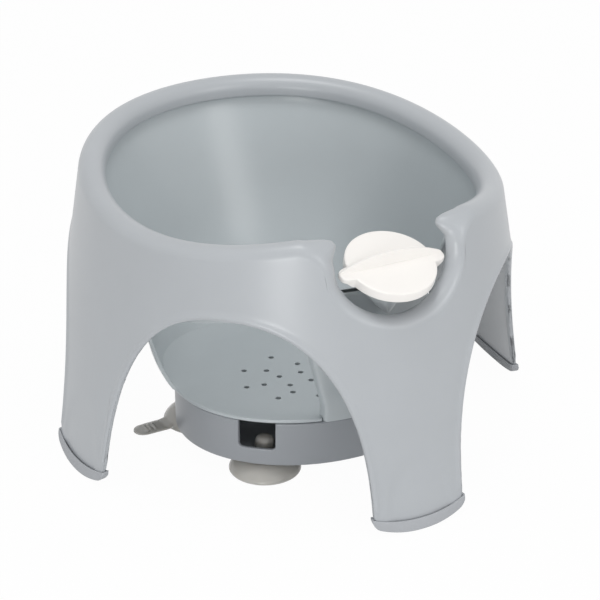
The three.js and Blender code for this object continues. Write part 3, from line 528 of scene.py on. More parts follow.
def roll_faces(s, angles, frames):
    """The roll's outer face, rounded lip and inner face at every column.

    Each row of frames is an angle, a height, the roll's centre and its directions out and up.
    """
    height, centre, out, up = frames[:, 1], frames[:, 2:5], frames[:, 5:8], frames[:, 8:11]
    step = 1e-4
    over = wall_point(s, angles, height + step, 0) - wall_point(s, angles, height - step, 0)
    aside = wall_point(s, angles + step, height, 0) - wall_point(s, angles - step, height, 0)
    normal = np.cross(aside, over)
    start = np.arctan2((normal * up).sum(1), (normal * out).sum(1))
    radius = s.roll_radius * np.cos(start)
    beside = up[:, 0] ** 2
    deep = radius * (1 - s.notch_narrow * beside)
    tall = radius * (1 - s.notch_thin * beside)
    end = np.minimum(s.wall, deep * 0.8) / 2
    share_round = np.linspace(0, 1, 25)[:, None]
    sweep = start + (np.pi - start) * share_round
    outer = np.stack([np.where(np.cos(sweep) < 0, deep, radius) * np.cos(sweep), tall * np.sin(sweep)], -1)
    tip = np.linspace(0, np.pi, 7)[:, None] + 0 * radius
    lip = np.stack([-(deep - end) - end * np.cos(tip), -(s.lip - end) - end * np.sin(tip)], -1)
    sweep = sweep[::-1][::2]
    inner = np.stack([np.where(np.cos(sweep) < 0, deep - 2 * end, radius - s.wall) * np.cos(sweep),
                      (tall - s.wall) * np.sin(sweep)], -1)
    section = np.concatenate([outer, lip, inner])
    return centre + section[..., :1] * out + section[..., 1:] * up


def pulled(points, grip, pull, reach):
    """Points drawn along with a grip on the surface, less the further away they are."""
    away = np.linalg.norm(points - grip, axis=-1)[..., None] / reach
    return points + pull * np.clip(1 - away ** 2, 0, 1) ** 2


def horns(s, points):
    """Draws the inner corner of the rim out to a blunt horn at either side of the notch."""
    for side in (-1, 1):
        grip = np.array([side * s.horn_x, -s.horn_y, s.horn_z])
        pull = s.horn_pull * np.array([-side, 0.1, 0.15])
        points = pulled(points, grip, pull, 1.5 * s.roll_radius)
    return points


def radial_block(angle, reaches, half_width, heights):
    """Block with chamfered edges that points outwards at one angle."""
    low, high = min(heights), max(heights)
    body = bmesh.new()
    bmesh.ops.create_cube(body, size=1)
    out = Vector((math.sin(angle), -math.cos(angle), 0))
    side = Vector((math.cos(angle), math.sin(angle), 0))
    for corner in body.verts:
        x, y, z = corner.co
        corner.co = (out * (reaches[0] + (reaches[1] - reaches[0]) * (x + 0.5)) + side * 2 * half_width * y
                     + Vector((0, 0, low + (high - low) * (z + 0.5))))
    bmesh.ops.bevel(body, geom=body.edges, offset=0.5 * MM, segments=2, affect="EDGES", profile=0.7)
    bmesh.ops.recalc_face_normals(body, faces=body.faces)
    mesh = bpy.data.meshes.new("block")
    body.to_mesh(mesh)
    body.free()
    return mesh


def joined(mesh, others):
    """A mesh with closed bodies added to it."""
    body = bmesh.new()
    body.from_mesh(mesh)
    for other in others:
        body.from_mesh(other)
        bpy.data.meshes.remove(other)
    body.to_mesh(mesh)
    body.free()
    mesh.shade_smooth()
    return mesh


LUG_DROP = 23 * MM  # from the roll's centre down to a lug's underside
LUG_THICKNESS = 3 * MM
LUG_HALF_WIDTH = 6 * MM
LUG_ROOT = 1 * MM  # from the bucket's outer face to a lug's inner end
BOSS_HALF = 4 * MM  # half a boss's width, and from a screw's axis to the ends of lug and boss
BOSS_LOW, BOSS_HIGH = 3.3 * MM, 17.3 * MM  # over a lug's underside
FIXING_INSET = 10.9 * MM  # from the shell's outer face to the screws' axes


def distance_out(point):
    """Distance of a point from the upright axis."""
    return float(np.hypot(point[0], point[1]))


def rim_fixings(s):
    """Angle, lug height and reach of the screws that hold the bucket under the rim."""
    places = []
    for angle in (math.pi / 2, math.pi, -math.pi / 2):
        low = float(rim_height(s, angle)) - LUG_DROP
        places.append((angle, low, distance_out(wall_point(s, np.array(angle), np.array(low), FIXING_INSET))))
    return places


class BATHSEAT_OT_outer_shell(bpy.types.Operator):
    """Builds the outer shell: four legs, beaded arches, rolled rim and notch"""

    bl_idname = "bathseat.outer_shell"
    bl_label = "Outer shell"

    def execute(self, context):
        s = context.scene.bath_seat.shell
        edges, notch, line = arches(s), notch_line(s), roll_line(s)
        angles = shell_columns(s, edges, notch)
        index = np.interp(angles, line[:, 0], np.arange(len(line)))
        frames = np.stack([np.interp(index, np.arange(len(line)), part) for part in line.T], 1)
        outer, inner = shell_walls(s, edges, angles, lowest_edge(s, edges, angles), frames[:, 1])
        faces = np.concatenate([outer, horns(s, roll_faces(s, angles, frames)), inner[::-1]])
        mesh = sheet_mesh("outer_shell_moulding", [(faces, True, True)])
        bosses = []
        for angle, low, reach in rim_fixings(s):
            wall = wall_point(s, np.array(angle), np.array(low + BOSS_HIGH), s.wall / 2)
            reaches = (reach - BOSS_HALF, distance_out(wall))
            bosses.append(radial_block(angle, reaches, BOSS_HALF, (low + BOSS_LOW, low + BOSS_HIGH)))
        shell = add_object("outer_shell_moulding", joined(mesh, bosses))
        finish = plastic("shell_plastic", context.scene.bath_seat.colours.shell, 0.34)
        place(shell, "seat", finish, "shell_plastic", "outer_shell")
        return {"FINISHED"}


# Seat bucket

OPENING = [  # outline of the leg openings in degrees from the front and millimetres of height
    (0, 46.9), (60, 46.9), (88, 46.9), (92.2, 47.4), (93.2, 51), (93.8, 60), (95, 68), (98, 75), (102, 81.5),
    (104.6, 86), (105.4, 90), (104.6, 94.5), (102, 97.2), (98, 99.3), (90, 102.5), (75, 112), (60, 121),
    (45, 128), (30, 131), (15, 132), (0, 132),
]
CREASE = [  # degrees from the front and height where the pan's dish turns up into the wall
    (0, 46.9), (90, 46.9), (94, 48.6), (100, 52), (107, 54.6), (126, 53.6), (140, 52.1), (150, 50),
    (160, 48.6), (180, 47.2),
]
BOWL = [  # shares of the bowl's height, and of its growth across, along and backwards
    (0, 0, 0, 0), (0.18, 0.43, 0.28, 0.29), (0.52, 0.79, 0.64, 0.64), (1, 1, 1, 1),
]
DRAIN_DEPTH = 12 * MM
BOWL_FOOT = 43.3 * MM
BOWL_SMOOTHING = np.linspace(-4, 4, 9) * MM  # heights that each oval is the mean of
LOW_REACH, HIGH_REACH, BAND_REACH = 0.105, 0.12, 0.13  # radii that turn lengths into angles
BAND_DROP = 2 * MM  # from the roll's centre down to the band's top
BAND_STRAIGHT = 6 * MM  # upright part of the band under its top
PAN_FLAT = 0.76  # share of the pan's reach that is flat but for its dip
PAN_DIP = 0.5 * MM  # how much lower the pan's middle is
DRAINS = [  # drain holes on the right, in shares of the pan's reach
    (0.197, 0.266), (0.073, 0.053), (0.111, -0.096), (0.462, 0.153), (0.318, 0.067), (0.276, -0.082),
    (0.1, -0.266), (0.426, -0.152), (0.266, -0.263), (0.554, -0.125), (0.296, -0.385), (0.428, -0.424),
    (0.159, -0.545),
]


BASE_SCREWS = [(-30, -88), (30, -88), (-40, 18), (40, 18)]  # millimetres across and backwards
SCREW_BOSS = [(0, 16.3), (4.5, 16.3), (4.5, 44.6), (0, 44.6)]  # radius and height round each of them


def band_top(s, angle):
    """Height of the bucket's upper edge, inside the roll."""
    return rim_height(s.shell, angle) - BAND_DROP


def bucket_oval(s, angle, height):
    """Reach across, reach along and middle of the bucket's oval at one height."""
    b = s.bucket
    table = np.array(BOWL)
    made = 0
    for shift in BOWL_SMOOTHING:
        level = height + shift
        rise = np.clip((level - BOWL_FOOT) / (b.bowl_height - BOWL_FOOT), 0, 1)
        wide, deep, back = (np.interp(rise, table[:, 0], table[:, k]) for k in (1, 2, 3))
        over = np.clip((level - b.bowl_height) / (band_top(s, angle) - BAND_STRAIGHT - b.bowl_height), 0, 1)
        made = made + np.stack([
            b.pan_x + (b.bowl_x - b.pan_x) * wide + (b.band_x - b.bowl_x) * over,
            b.pan_y + (b.bowl_y - b.pan_y) * deep + (b.band_y - b.bowl_y) * over,
            -b.pan_forward + (b.pan_forward - b.bowl_forward) * back + b.bowl_forward * over,
        ]) / len(BOWL_SMOOTHING)
    return made


def bucket_point(s, angle, height, inset):
    """Point of the bucket's wall, inset from its outer face."""
    reach_x, reach_y, middle = bucket_oval(s, angle, height)
    x = (reach_x - inset) * np.sin(angle)
    y = middle - (reach_y - inset) * np.cos(angle)
    return np.stack([x, y, height + 0 * x], -1)


def crease_height(angle):
    """Height where the pan turns up into the wall."""
    table = softened(np.array(CREASE, float), 3)
    return np.interp(np.abs(np.degrees(angle)), table[:, 0], table[:, 1]) * MM


def pan_point(s, angle, share_out):
    """Point of the middle of the pan's sheet, from its middle (0) to the crease (1)."""
    b = s.bucket
    edge = bucket_point(s, angle, crease_height(angle), b.thickness / 2)
    rise = np.clip((share_out - PAN_FLAT) / (1 - PAN_FLAT), 0, 1) ** 2
    dip = PAN_DIP * (1 - share_out ** 2)
    height = b.floor + (edge[..., 2] - b.floor) * rise - dip
    x = edge[..., 0] * share_out
    y = -b.pan_forward + (edge[..., 1] + b.pan_forward) * share_out
    return np.stack([x, y, height], -1)


def sheet_normals(point, angle, level, step):
    """Normals of a surface that is given as a function of an angle and a level."""
    turn_step = 0.002
    over = point(angle, level + step) - point(angle, level - step)
    aside = point(angle + turn_step, level) - point(angle - turn_step, level)
    normal = np.cross(over, aside)
    return normal / np.maximum(np.linalg.norm(normal, axis=-1)[..., None], 1e-12)


def wall_sheet(s, angle, height):
    """Points and normals of the middle of the bucket's wall."""
    inset = s.bucket.thickness / 2
    point = functools.partial(bucket_point, s, inset=inset)
    return point(angle, height), sheet_normals(point, angle, height, 0.001)


def opening_branches():
    """Lower and upper edge of one side of the openings, as (angle, height) pairs."""
    line = softened(np.array(OPENING, float), 4) * [np.pi / 180, MM]
    tip = int(np.argmax(line[:, 0]))
    return line[:tip + 1], line[tip:][::-1]


def bucket_sheet(s, middle, normal, away):
    """Outer and inner face either side of the middle of the bucket's sheet."""
    half = rounded(away, s.bucket.thickness / 2, s.bucket.thickness / 2)[..., None]
    return middle - half * normal, middle + half * normal


class BucketEdges:
    """Edges of the bucket's sheet: the leg openings, the band's ends and the slot for the post."""

    band_start = 0.345  # angles from the front
    slot_half = 0.3045
    slot_turn = 0.006
    slot_share = 0.855  # of the way from the pan's middle to its crease
    pan_edge_end = 1.62  # angle where the wall starts beside the openings
    band_end = (0.1305, 0.19)  # heights

    def __init__(self, s):
        self.s = s
        self.low, self.high = opening_branches()
        self.tip, self.seam = self.low[-1]

    def pan_end(self, angle):
        """Share of the pan kept at an angle: less where the post stands."""
        inside = eased(np.abs(angle), self.slot_half - self.slot_turn, self.slot_half + self.slot_turn)
        return self.slot_share + (1 - self.slot_share) * inside

    def past_tip(self):
        """Angles that follow the rear end of the openings closely."""
        return self.tip + np.array([0, 0.3, 0.8, 1.5, 2.5, 4]) * 0.01

    def outline(self):
        """Points along every edge of the sheet's middle."""
        s, inset = self.s, self.s.bucket.thickness / 2
        parts = []
        for side in (-1, 1):
            for branch in (self.low, self.high):
                kept = branch[::3]
                if branch is self.high:
                    kept = kept[kept[:, 0] >= self.band_start]
                else:
                    kept = kept[kept[:, 1] > crease_height(kept[:, 0]) + 0.0002]
                parts.append(bucket_point(s, side * kept[:, 0], kept[:, 1], inset))
            around = np.linspace(0, self.pan_edge_end, 900)
            parts.append(pan_point(s, side * around, self.pan_end(around)))
            level = np.linspace(*self.band_end, 240)
            parts.append(bucket_point(s, np.full(len(level), side * self.band_start), level, inset))
        return np.concatenate(parts)


class BATHSEAT_OT_seat_bucket(bpy.types.Operator):
    """Builds the seat bucket: dished pan with drain holes, straight back and band under the rim"""

    bl_idname = "bathseat.seat_bucket"
    bl_label = "Seat bucket"

    def lower_sheet(self, s, edges, outline):
        """Pan, and the wall up to the openings' lower edge and up to the seam behind them."""
        angles = ordered([
            np.linspace(-np.pi, np.pi, 289)[:-1],
            both_sides(spaced(edges.low, LOW_REACH, 1.6 * MM)),
            both_sides(edges.slot_half + np.linspace(-0.007, 0.007, 11)),
            both_sides(edges.past_tip()),
        ], 0.0001)
        shares = np.concatenate([np.linspace(0, 0.7, 15), np.linspace(0.73, 0.94, 12),
                                 1 - np.array([5, 3.9, 2.9, 2, 1.3, 0.8, 0.45, 0.2, 0.08, 0]) / 100])
        part = shares[:, None] * edges.pan_end(angles)
        across = np.broadcast_to(angles, part.shape)
        pan = pan_point(s, across, part)
        pan_normal = sheet_normals(lambda a, u: pan_point(s, a, np.clip(u, 0.02, 1)), across,
                                   np.clip(part, 0.05, 1), 0.01)
        top = np.interp(np.abs(angles), edges.low[:, 0], edges.low[:, 1])
        crease = crease_height(angles)
        top = np.maximum(top, crease)
        flat = top - crease < 0.0003
        rise = np.concatenate([[0.006, 0.02], np.linspace(0.04, 0.9, 22),
                               [0.93, 0.955, 0.975, 0.988, 0.996, 1]])
        height = crease + (top - crease) * rise[:, None]
        wall, wall_normal = wall_sheet(s, np.broadcast_to(angles, height.shape), height)
        wall = np.where(flat[None, :, None], pan[-1:], wall)
        middle = np.concatenate([pan, wall])
        normal = np.concatenate([pan_normal, wall_normal])
        away = distance_to(middle, outline)
        away[-1, np.abs(angles) < edges.tip] = 0
        away[len(shares) - 1:, flat] = 0
        return bucket_sheet(s, middle, normal, away)

    def upper_sheet(self, s, edges, outline):
        """Wall from the openings' upper edge, and from the seam behind them, up to the rim."""
        start = edges.band_start
        high = edges.high[edges.high[:, 0] >= start]
        side = np.concatenate([
            start + steps(0, 0.15, 0.4, 0.8, 1.3, 2.2, 3.5) / BAND_REACH, spaced(high, HIGH_REACH, 2.2 * MM),
            edges.past_tip(), np.linspace(edges.tip, np.pi, 90),
        ])
        angles = ordered([side, 2 * np.pi - side], 0.0001)
        off = from_front(angles)
        low = np.interp(off, edges.high[:, 0], edges.high[:, 1])
        low = np.where(off >= edges.tip, edges.seam, low)
        top = band_top(s, angles)
        near = steps(0, 0.06, 0.2, 0.45, 0.8, 1.25, 2, 3.2, 5)[:, None]
        far = np.linspace(0, 1, 26)[1:, None]
        height = np.concatenate([low + near, low + near[-1] + (top - 2 * MM - low - near[-1]) * far,
                                 top - steps(1.25, 0.8, 0.45, 0.2, 0.06, 0)[:, None]])
        middle, normal = wall_sheet(s, np.broadcast_to(angles, height.shape), height)
        away = np.minimum(distance_to(middle, outline), top - height)
        away[0, off < edges.tip] = 0
        away[:, [0, -1]] = 0
        return bucket_sheet(s, middle, normal, away)

    def execute(self, context):
        s = context.scene.bath_seat
        edges = BucketEdges(s)
        outline = edges.outline()
        lower = [(face, False, True) for face in self.lower_sheet(s, edges, outline)]
        upper = [(face, False, False) for face in self.upper_sheet(s, edges, outline)]
        mesh = sheet_mesh("seat_bucket_moulding", lower + upper)
        bucket = add_object("seat_bucket_moulding", mesh)
        finish = plastic("bucket_plastic", s.colours.bucket, 0.3)
        mesh.materials.append(finish)
        b = s.bucket
        holes = [(side * x * b.pan_x, y * b.pan_y - b.pan_forward, b.floor)
                 for x, y in DRAINS for side in (-1, 1)]
        places = bpy.data.meshes.new("drain_places")
        places.from_pydata(holes, [], [])
        marks = add_object("drain_places", places)
        grow(bucket, drain_tree(), {"Places": marks, "Hole Radius": b.hole, "Depth": DRAIN_DEPTH,
                                    "Finish": finish})
        bucket = finished(bucket)
        bpy.data.objects.remove(marks)
        lugs = []
        for angle, low, reach in rim_fixings(s.shell):
            inner = bucket_point(s, np.array(angle), np.array(low), LUG_ROOT)
            reaches = (distance_out(inner), reach + BOSS_HALF)
            lugs.append(radial_block(angle, reaches, LUG_HALF_WIDTH, (low, low + LUG_THICKNESS)))
        profile = filleted(SCREW_BOSS, 0.6) * MM
        for x, y in BASE_SCREWS:
            boss = lathe(profile, 32, np.array([x * MM, y * MM, 0]), UPRIGHT, ACROSS)
            lugs.append(closed_mesh("boss", boss))
        joined(bucket.data, lugs)
        bucket.data.set_sharp_from_angle(angle=math.radians(38))
        place(bucket, "seat", finish, "bucket_plastic", "seat_bucket")
        return {"FINISHED"}


# Geometry node trees


def new_tree(name, inputs):
    """Geometry node tree with named inputs, and its input and output nodes."""
    tree = bpy.data.node_groups.new(name, "GeometryNodeTree")
    tree.interface.new_socket("Geometry", in_out="INPUT", socket_type="NodeSocketGeometry")
    for label, kind in inputs:
        socket = tree.interface.new_socket(label, in_out="INPUT", socket_type=kind)
        if kind == "NodeSocketFloat":
            socket.subtype = "DISTANCE"
    tree.interface.new_socket("Geometry", in_out="OUTPUT", socket_type="NodeSocketGeometry")
    return tree, tree.nodes.new("NodeGroupInput"), tree.nodes.new("NodeGroupOutput")


def add_node(tree, kind, settings=None, **inputs):
    """Node with its settings; an input is a value, or an output socket to link."""
    node = tree.nodes.new(kind)
    for name, value in (settings or {}).items():
        setattr(node, name, value)
    for name, value in inputs.items():
        socket = node.inputs[int(name[1:])] if name[0] == "i" and name[1:].isdigit() else node.inputs[name]
        if isinstance(value, bpy.types.NodeSocket):
            tree.links.new(value, socket)
        else:
            socket.default_value = value
    return node


def calculated(tree, operation, first, second=0.0, clamp=False):
    """Result of a math node."""
    settings = {"operation": operation, "use_clamp": clamp}
    return add_node(tree, "ShaderNodeMath", settings, i0=first, i1=second).outputs[0]


def grow(obj, tree, values):
    """Adds a geometry node tree to an object with the values of its named inputs."""
    modifier = obj.modifiers.new(tree.name, "NODES")
    modifier.node_group = tree
    for item in tree.interface.items_tree:
        if item.in_out == "INPUT" and item.name in values:
            modifier[item.identifier] = values[item.name]
    obj.update_tag()


def drain_tree():
    """Cuts round holes through a mesh at the points of another object."""
    tree, start, end = new_tree("Drain holes", [
        ("Places", "NodeSocketObject"), ("Hole Radius", "NodeSocketFloat"), ("Depth", "NodeSocketFloat"),
        ("Finish", "NodeSocketMaterial")])
    places = add_node(tree, "GeometryNodeObjectInfo", i0=start.outputs["Places"])
    pin = add_node(tree, "GeometryNodeMeshCylinder", i0=28, i3=start.outputs["Hole Radius"],
                   i4=start.outputs["Depth"])
    pins = add_node(tree, "GeometryNodeInstanceOnPoints", Points=places.outputs["Geometry"],
                    Instance=pin.outputs["Mesh"])
    real = add_node(tree, "GeometryNodeRealizeInstances", Geometry=pins.outputs["Instances"])
    cut = add_node(tree, "GeometryNodeMeshBoolean", {"operation": "DIFFERENCE", "solver": "EXACT"})
    tree.links.new(start.outputs["Geometry"], cut.inputs["Mesh 1"])
    tree.links.new(real.outputs["Geometry"], cut.inputs["Mesh 2"])
    whole = add_node(tree, "GeometryNodeRealizeInstances", Geometry=cut.outputs["Mesh"])
    dressed = add_node(tree, "GeometryNodeSetMaterial", Geometry=whole.outputs["Geometry"],
                       Material=start.outputs["Finish"])
    tree.links.new(dressed.outputs["Geometry"], end.inputs["Geometry"])
    return tree


# Foot pads, seat base and suction cups

PAD_FLOOR = 2.2 * MM  # rubber under the wall
PAD_GAP = 0.3 * MM  # between the wall and its slot
PAD_END = 1.3 * MM  # length of a pad's rounded end
PAD_ROUND = 0.9 * MM
PAD_END_WIDTH = 0.35  # share of the width that is left at the very end
PAD_TOP_RISE = 0.7  # share of the foot's rise that a pad's upper edge follows


def pad_sheet(s, middle, half):
    """Closed sheet of a foot pad round a leg's foot, with the slot that the wall stands in."""
    wide, slot, reach, end = s.wall / 2 + s.pad_lip, s.wall / 2 + PAD_GAP, leg_reach(s), PAD_END
    outer = filleted([(0, 0), (wide, 0), (wide, s.pad_height), (slot, s.pad_height), (slot, PAD_FLOOR),
                      (0, PAD_FLOOR)], PAD_ROUND, 6)
    section = np.concatenate([outer, (outer * [-1, 1])[-2:0:-1]])
    length_half = half * reach + PAD_GAP
    first = np.concatenate([np.linspace(0, 1, 9) ** 2 * end, end + steps(0.2, 0.4, 1.2, 2.2, 3.4, 4.8, 6.4),
                            np.linspace(end + 0.009, length_half, 12)])
    along = np.concatenate([-length_half - end + first, (length_half + end - first)[-2::-1]])
    from_end = length_half + end - np.abs(along)
    narrow = np.sqrt(np.clip(1 - (1 - np.clip(from_end / end, 0, 1)) ** 2, 0, 1))
    closed = from_end <= end + 0.0003
    share_wide = np.where(narrow < 1, PAD_END_WIDTH + (1 - PAD_END_WIDTH) * narrow, 1) * (narrow > 0)
    across = section[:, 0] * share_wide[:, None]
    height = np.broadcast_to(section[:, 1], across.shape).copy()
    inner = (np.abs(section[:, 0]) <= slot + 1e-6) & (section[:, 1] > 1e-6)
    height[np.ix_(closed, inner)] = s.pad_height
    drop = (1 - narrow[:, None]) * PAD_ROUND
    height = np.clip(height, drop, s.pad_height - drop)
    corner = s.foot_corner + end + 0.0005
    lift = corner - np.sqrt(np.clip(corner ** 2 - np.clip(corner - from_end, 0, None) ** 2, 0, None))
    rise = foot_lift(s, along / (length_half + end))
    low = np.minimum(lift + rise, 0.85 * s.pad_height + PAD_TOP_RISE * rise)[:, None]
    height = height + low + (PAD_TOP_RISE * rise[:, None] - low) * height / s.pad_height
    angle = np.broadcast_to((middle + along / reach)[:, None], across.shape)
    return wall_point(s, angle, height, s.wall / 2 - across)


class BATHSEAT_OT_foot_pads(bpy.types.Operator):
    """Builds the four rubber pads that the legs stand in"""

    bl_idname = "bathseat.foot_pads"
    bl_label = "Foot pads"

    def execute(self, context):
        s = context.scene.bath_seat.shell
        finish = rubber("pad_rubber", context.scene.bath_seat.colours.pad)
        for (middle, half), name in zip(leg_middles(s), ("front", "right", "rear", "left")):
            mesh = closed_mesh(f"{name}_foot_pad_moulding", pad_sheet(s, middle, half))
            mesh.set_sharp_from_angle(angle=math.radians(50))
            pad = add_object(f"{name}_foot_pad_moulding", mesh)
            place(pad, "seat", finish, "pad_rubber", f"{name}_foot_pad")
        return {"FINISHED"}


SKIRT_REACH = 0.089  # radius that turns lengths round the skirt into angles
SKIRT_ROUND = 0.9 * MM
WINDOW_TURN = 0.0003  # angle that the skirt's upper edge takes to turn into a window
WINDOW_DROP = 0.4 * MM  # height of that turn


def base_point(s, angle, height, inset):
    """Point of the skirt's wall, which stands under the pan's edge, inset from its outer face."""
    b = s.bucket
    x = (b.pan_x - inset) * np.sin(angle)
    return np.stack([x, -b.pan_forward - (b.pan_y - inset) * np.cos(angle), height + 0 * x], -1)


def window_middles(b):
    """Middle angles of the windows of one half."""
    return b.window_angle, math.pi - b.window_angle


def skirt_top(b):
    """Upper edge of the skirt over half a turn, down into its windows."""
    line = [(0, b.high)]
    curve, corner, under = np.linspace(0, np.pi / 2, 12), b.window_corner, b.high - WINDOW_DROP
    for middle in window_middles(b):
        edge = b.window_half - corner / SKIRT_REACH
        left = np.stack([middle - edge - corner / SKIRT_REACH * np.cos(curve),
                         b.window_low + corner - corner * np.sin(curve)], 1)
        right = np.stack([2 * middle - left[::-1, 0], left[::-1, 1]], 1)
        line += [(left[0, 0] - 2 * WINDOW_TURN, b.high), (left[0, 0] - WINDOW_TURN, under), *left, *right,
                 (right[-1, 0] + WINDOW_TURN, under), (right[-1, 0] + 2 * WINDOW_TURN, b.high)]
    return np.array(line + [(math.pi, b.high)])


class BATHSEAT_OT_seat_base(bpy.types.Operator):
    """Builds the round skirt under the pan, with its four windows"""

    bl_idname = "bathseat.seat_base"
    bl_label = "Seat base"

    def execute(self, context):
        s = context.scene.bath_seat
        b = s.base
        line = skirt_top(b)
        half_sheet = b.thickness / 2
        edge = ordered([spaced(line, SKIRT_REACH, 0.5 * MM)], 0.00001)
        edge = edge[np.interp(edge, line[:, 0], line[:, 1]) < b.high]
        bends = line[line[:, 1] < b.high, 0]
        beside = b.window_half + steps(0.3, 0.7, 1.2, 2, 3.2, 5) / SKIRT_REACH
        near = [middle + side * beside for side in (-1, 1) for middle in window_middles(b)]
        half = ordered([np.linspace(0, np.pi, 121), edge, bends, *near], 0.00002)
        angles = np.concatenate([half, 2 * np.pi - half[-2:0:-1]])
        top = np.interp(from_front(angles), line[:, 0], line[:, 1])
        ends = steps(0, 0.08, 0.25, 0.5, 0.8, 1.2, 2)[:, None]
        between = np.linspace(0, 1, 16)[1:-1, None]
        height = np.concatenate([
            b.low + ends + 0 * top,
            b.low + ends[-1] + (top - b.low - 2 * ends[-1]) * between,
            top - ends[::-1],
        ])
        across = np.broadcast_to(angles, height.shape)
        dense = np.linspace(0, 2 * np.pi, 4000)
        around = np.concatenate([dense, 2 * np.pi - line[:, 0], line[:, 0]])
        tops = np.concatenate([np.interp(from_front(dense), line[:, 0], line[:, 1]), line[:, 1], line[:, 1]])
        outline = [base_point(s, around, tops, half_sheet),
                   base_point(s, dense, np.full(len(dense), b.low), half_sheet)]
        level = np.linspace(b.window_low + b.window_corner, b.high, 80)
        for middle in window_middles(b):
            for side in (middle - b.window_half, middle + b.window_half):
                for angle in (side, -side):
                    outline.append(base_point(s, np.full(len(level), angle), level, half_sheet))
        away = distance_to(base_point(s, across, height, half_sheet), np.concatenate(outline))
        half_wall = rounded(away, SKIRT_ROUND, half_sheet)
        outer = base_point(s, across, height, half_sheet - half_wall)
        inner = base_point(s, across, height, half_sheet + half_wall)
        mesh = sheet_mesh("seat_base_skirt", [(np.concatenate([outer, inner[::-1]]), True, True)])
        skirt = add_object("seat_base_skirt", mesh)
        place(skirt, "seat", plastic("base_plastic", s.colours.base, 0.38), "base_plastic", "seat_base")
        return {"FINISHED"}


CUP_PROFILE = [  # millimetres of radius and height, from under the cup to the top of its button
    (0, 5.4), (9, 4.6), (15, 3.2), (20, 1.5), (22.6, 0.25), (23.4, 0), (24.5, 0), (25, 0.5), (25, 1.3),
    (24.2, 3.2), (22, 6.1), (18.5, 8.9), (14, 11), (9.5, 12.1), (6.6, 12.6), (6, 13.2), (6, 16.2),
    (6.7, 16.8), (7, 17.8), (7, 20.6), (6.4, 23), (4.6, 24.8), (2.2, 25.4), (0, 25.5),
]
CUP_PROFILE_RADIUS = 25 * MM
CUP_VOXEL = 0.55 * MM
TAB_START = 0.36  # share of a tab's reach at its root, inside the cup
TAB_LOW = 0.9 * MM  # height of a tab's underside
RIB_PLACES = (0.70, 0.76, 0.82)  # shares of the tab's reach
RIB_HALF_LENGTH = 5.4 * MM
RIB_RADIUS = 0.75 * MM
RIB_SINK = 0.1 * MM  # from the tab's upper face down to a rib's axis


class BATHSEAT_OT_suction_cups(bpy.types.Operator):
    """Builds the four suction cups with their buttons and pull tabs"""

    bl_idname = "bathseat.suction_cups"
    bl_label = "Suction cups"

    def cup(self, b, name, x, y, way):
        """One cup with its button, its tab to the left (way -1) or right (way 1) and the tab's ribs."""
        profile = softened(np.array(CUP_PROFILE, float), 2) * MM
        profile[:, 0] *= b.cup_radius / CUP_PROFILE_RADIUS
        mesh = closed_mesh(name, lathe(profile, 72, np.array([x, y, 0]), UPRIGHT, ACROSS))
        reach = np.concatenate([np.linspace(TAB_START, 0.9, 20), 1 - 0.1 * (1 - np.linspace(0, 1, 10)) ** 2])
        round_end = np.clip((reach - 0.84) / 0.16, 0, 1)
        half = b.tab_half * np.sqrt(np.clip(1 - round_end ** 2.2, 0.0004, 1))
        root, tip = 1 - eased(reach, TAB_START, 0.58), eased(reach, 0.6, 0.95)
        top = (2.9 + 2.6 * root - 0.7 * tip) * MM
        low = TAB_LOW + 0 * reach
        around = np.linspace(0, 2 * np.pi, 28, endpoint=False)
        side = np.sign(np.cos(around)) * np.abs(np.cos(around)) ** 0.5
        lift = np.sign(np.sin(around)) * np.abs(np.sin(around)) ** 0.75
        parts = [np.stack([x + way * b.tab_reach * reach[:, None] + 0 * side,
                           y + half[:, None] * side,
                           (low + top)[:, None] / 2 + (top - low)[:, None] / 2 * lift], -1)]
        line = np.linspace(-1, 1, 17)[:, None]
        around = np.linspace(0, 2 * np.pi, 10, endpoint=False)
        thick = RIB_RADIUS * np.sqrt(1 - np.abs(line) ** 4)
        for at in RIB_PLACES:
            parts.append(np.stack([x + way * (b.tab_reach * at + thick * np.cos(around)),
                                   y + RIB_HALF_LENGTH * line + 0 * around,
                                   np.interp(at, reach, top) - RIB_SINK + thick * np.sin(around)], -1))
        return add_object(name, joined(mesh, [capped_mesh("tab", part) for part in parts]))

    def execute(self, context):
        s = context.scene.bath_seat
        b = s.base
        finish = cup_rubber("cup_rubber", s.colours.cup)
        for end, x, y, tab in (("front", b.cup_front_x, -b.cup_front_y, -1),
                               ("rear", b.cup_rear_x, b.cup_rear_y, 1)):
            for side, sign in (("left", -1), ("right", 1)):
                name = f"suction_cup_{end}_{side}"
                cup = self.cup(b, name + "_moulding", sign * x, y, sign * tab)
                remesh = cup.modifiers.new("one_body", "REMESH")
                remesh.mode, remesh.voxel_size, remesh.use_smooth_shade = "VOXEL", CUP_VOXEL, True
                smooth = cup.modifiers.new("soft_corners", "SMOOTH")
                smooth.factor, smooth.iterations = 0.5, 4
                cup = finished(cup)
                cup.data.shade_smooth()
                place(cup, "seat", finish, "cup_rubber", name)
        return {"FINISHED"}


# Front post and lock knob

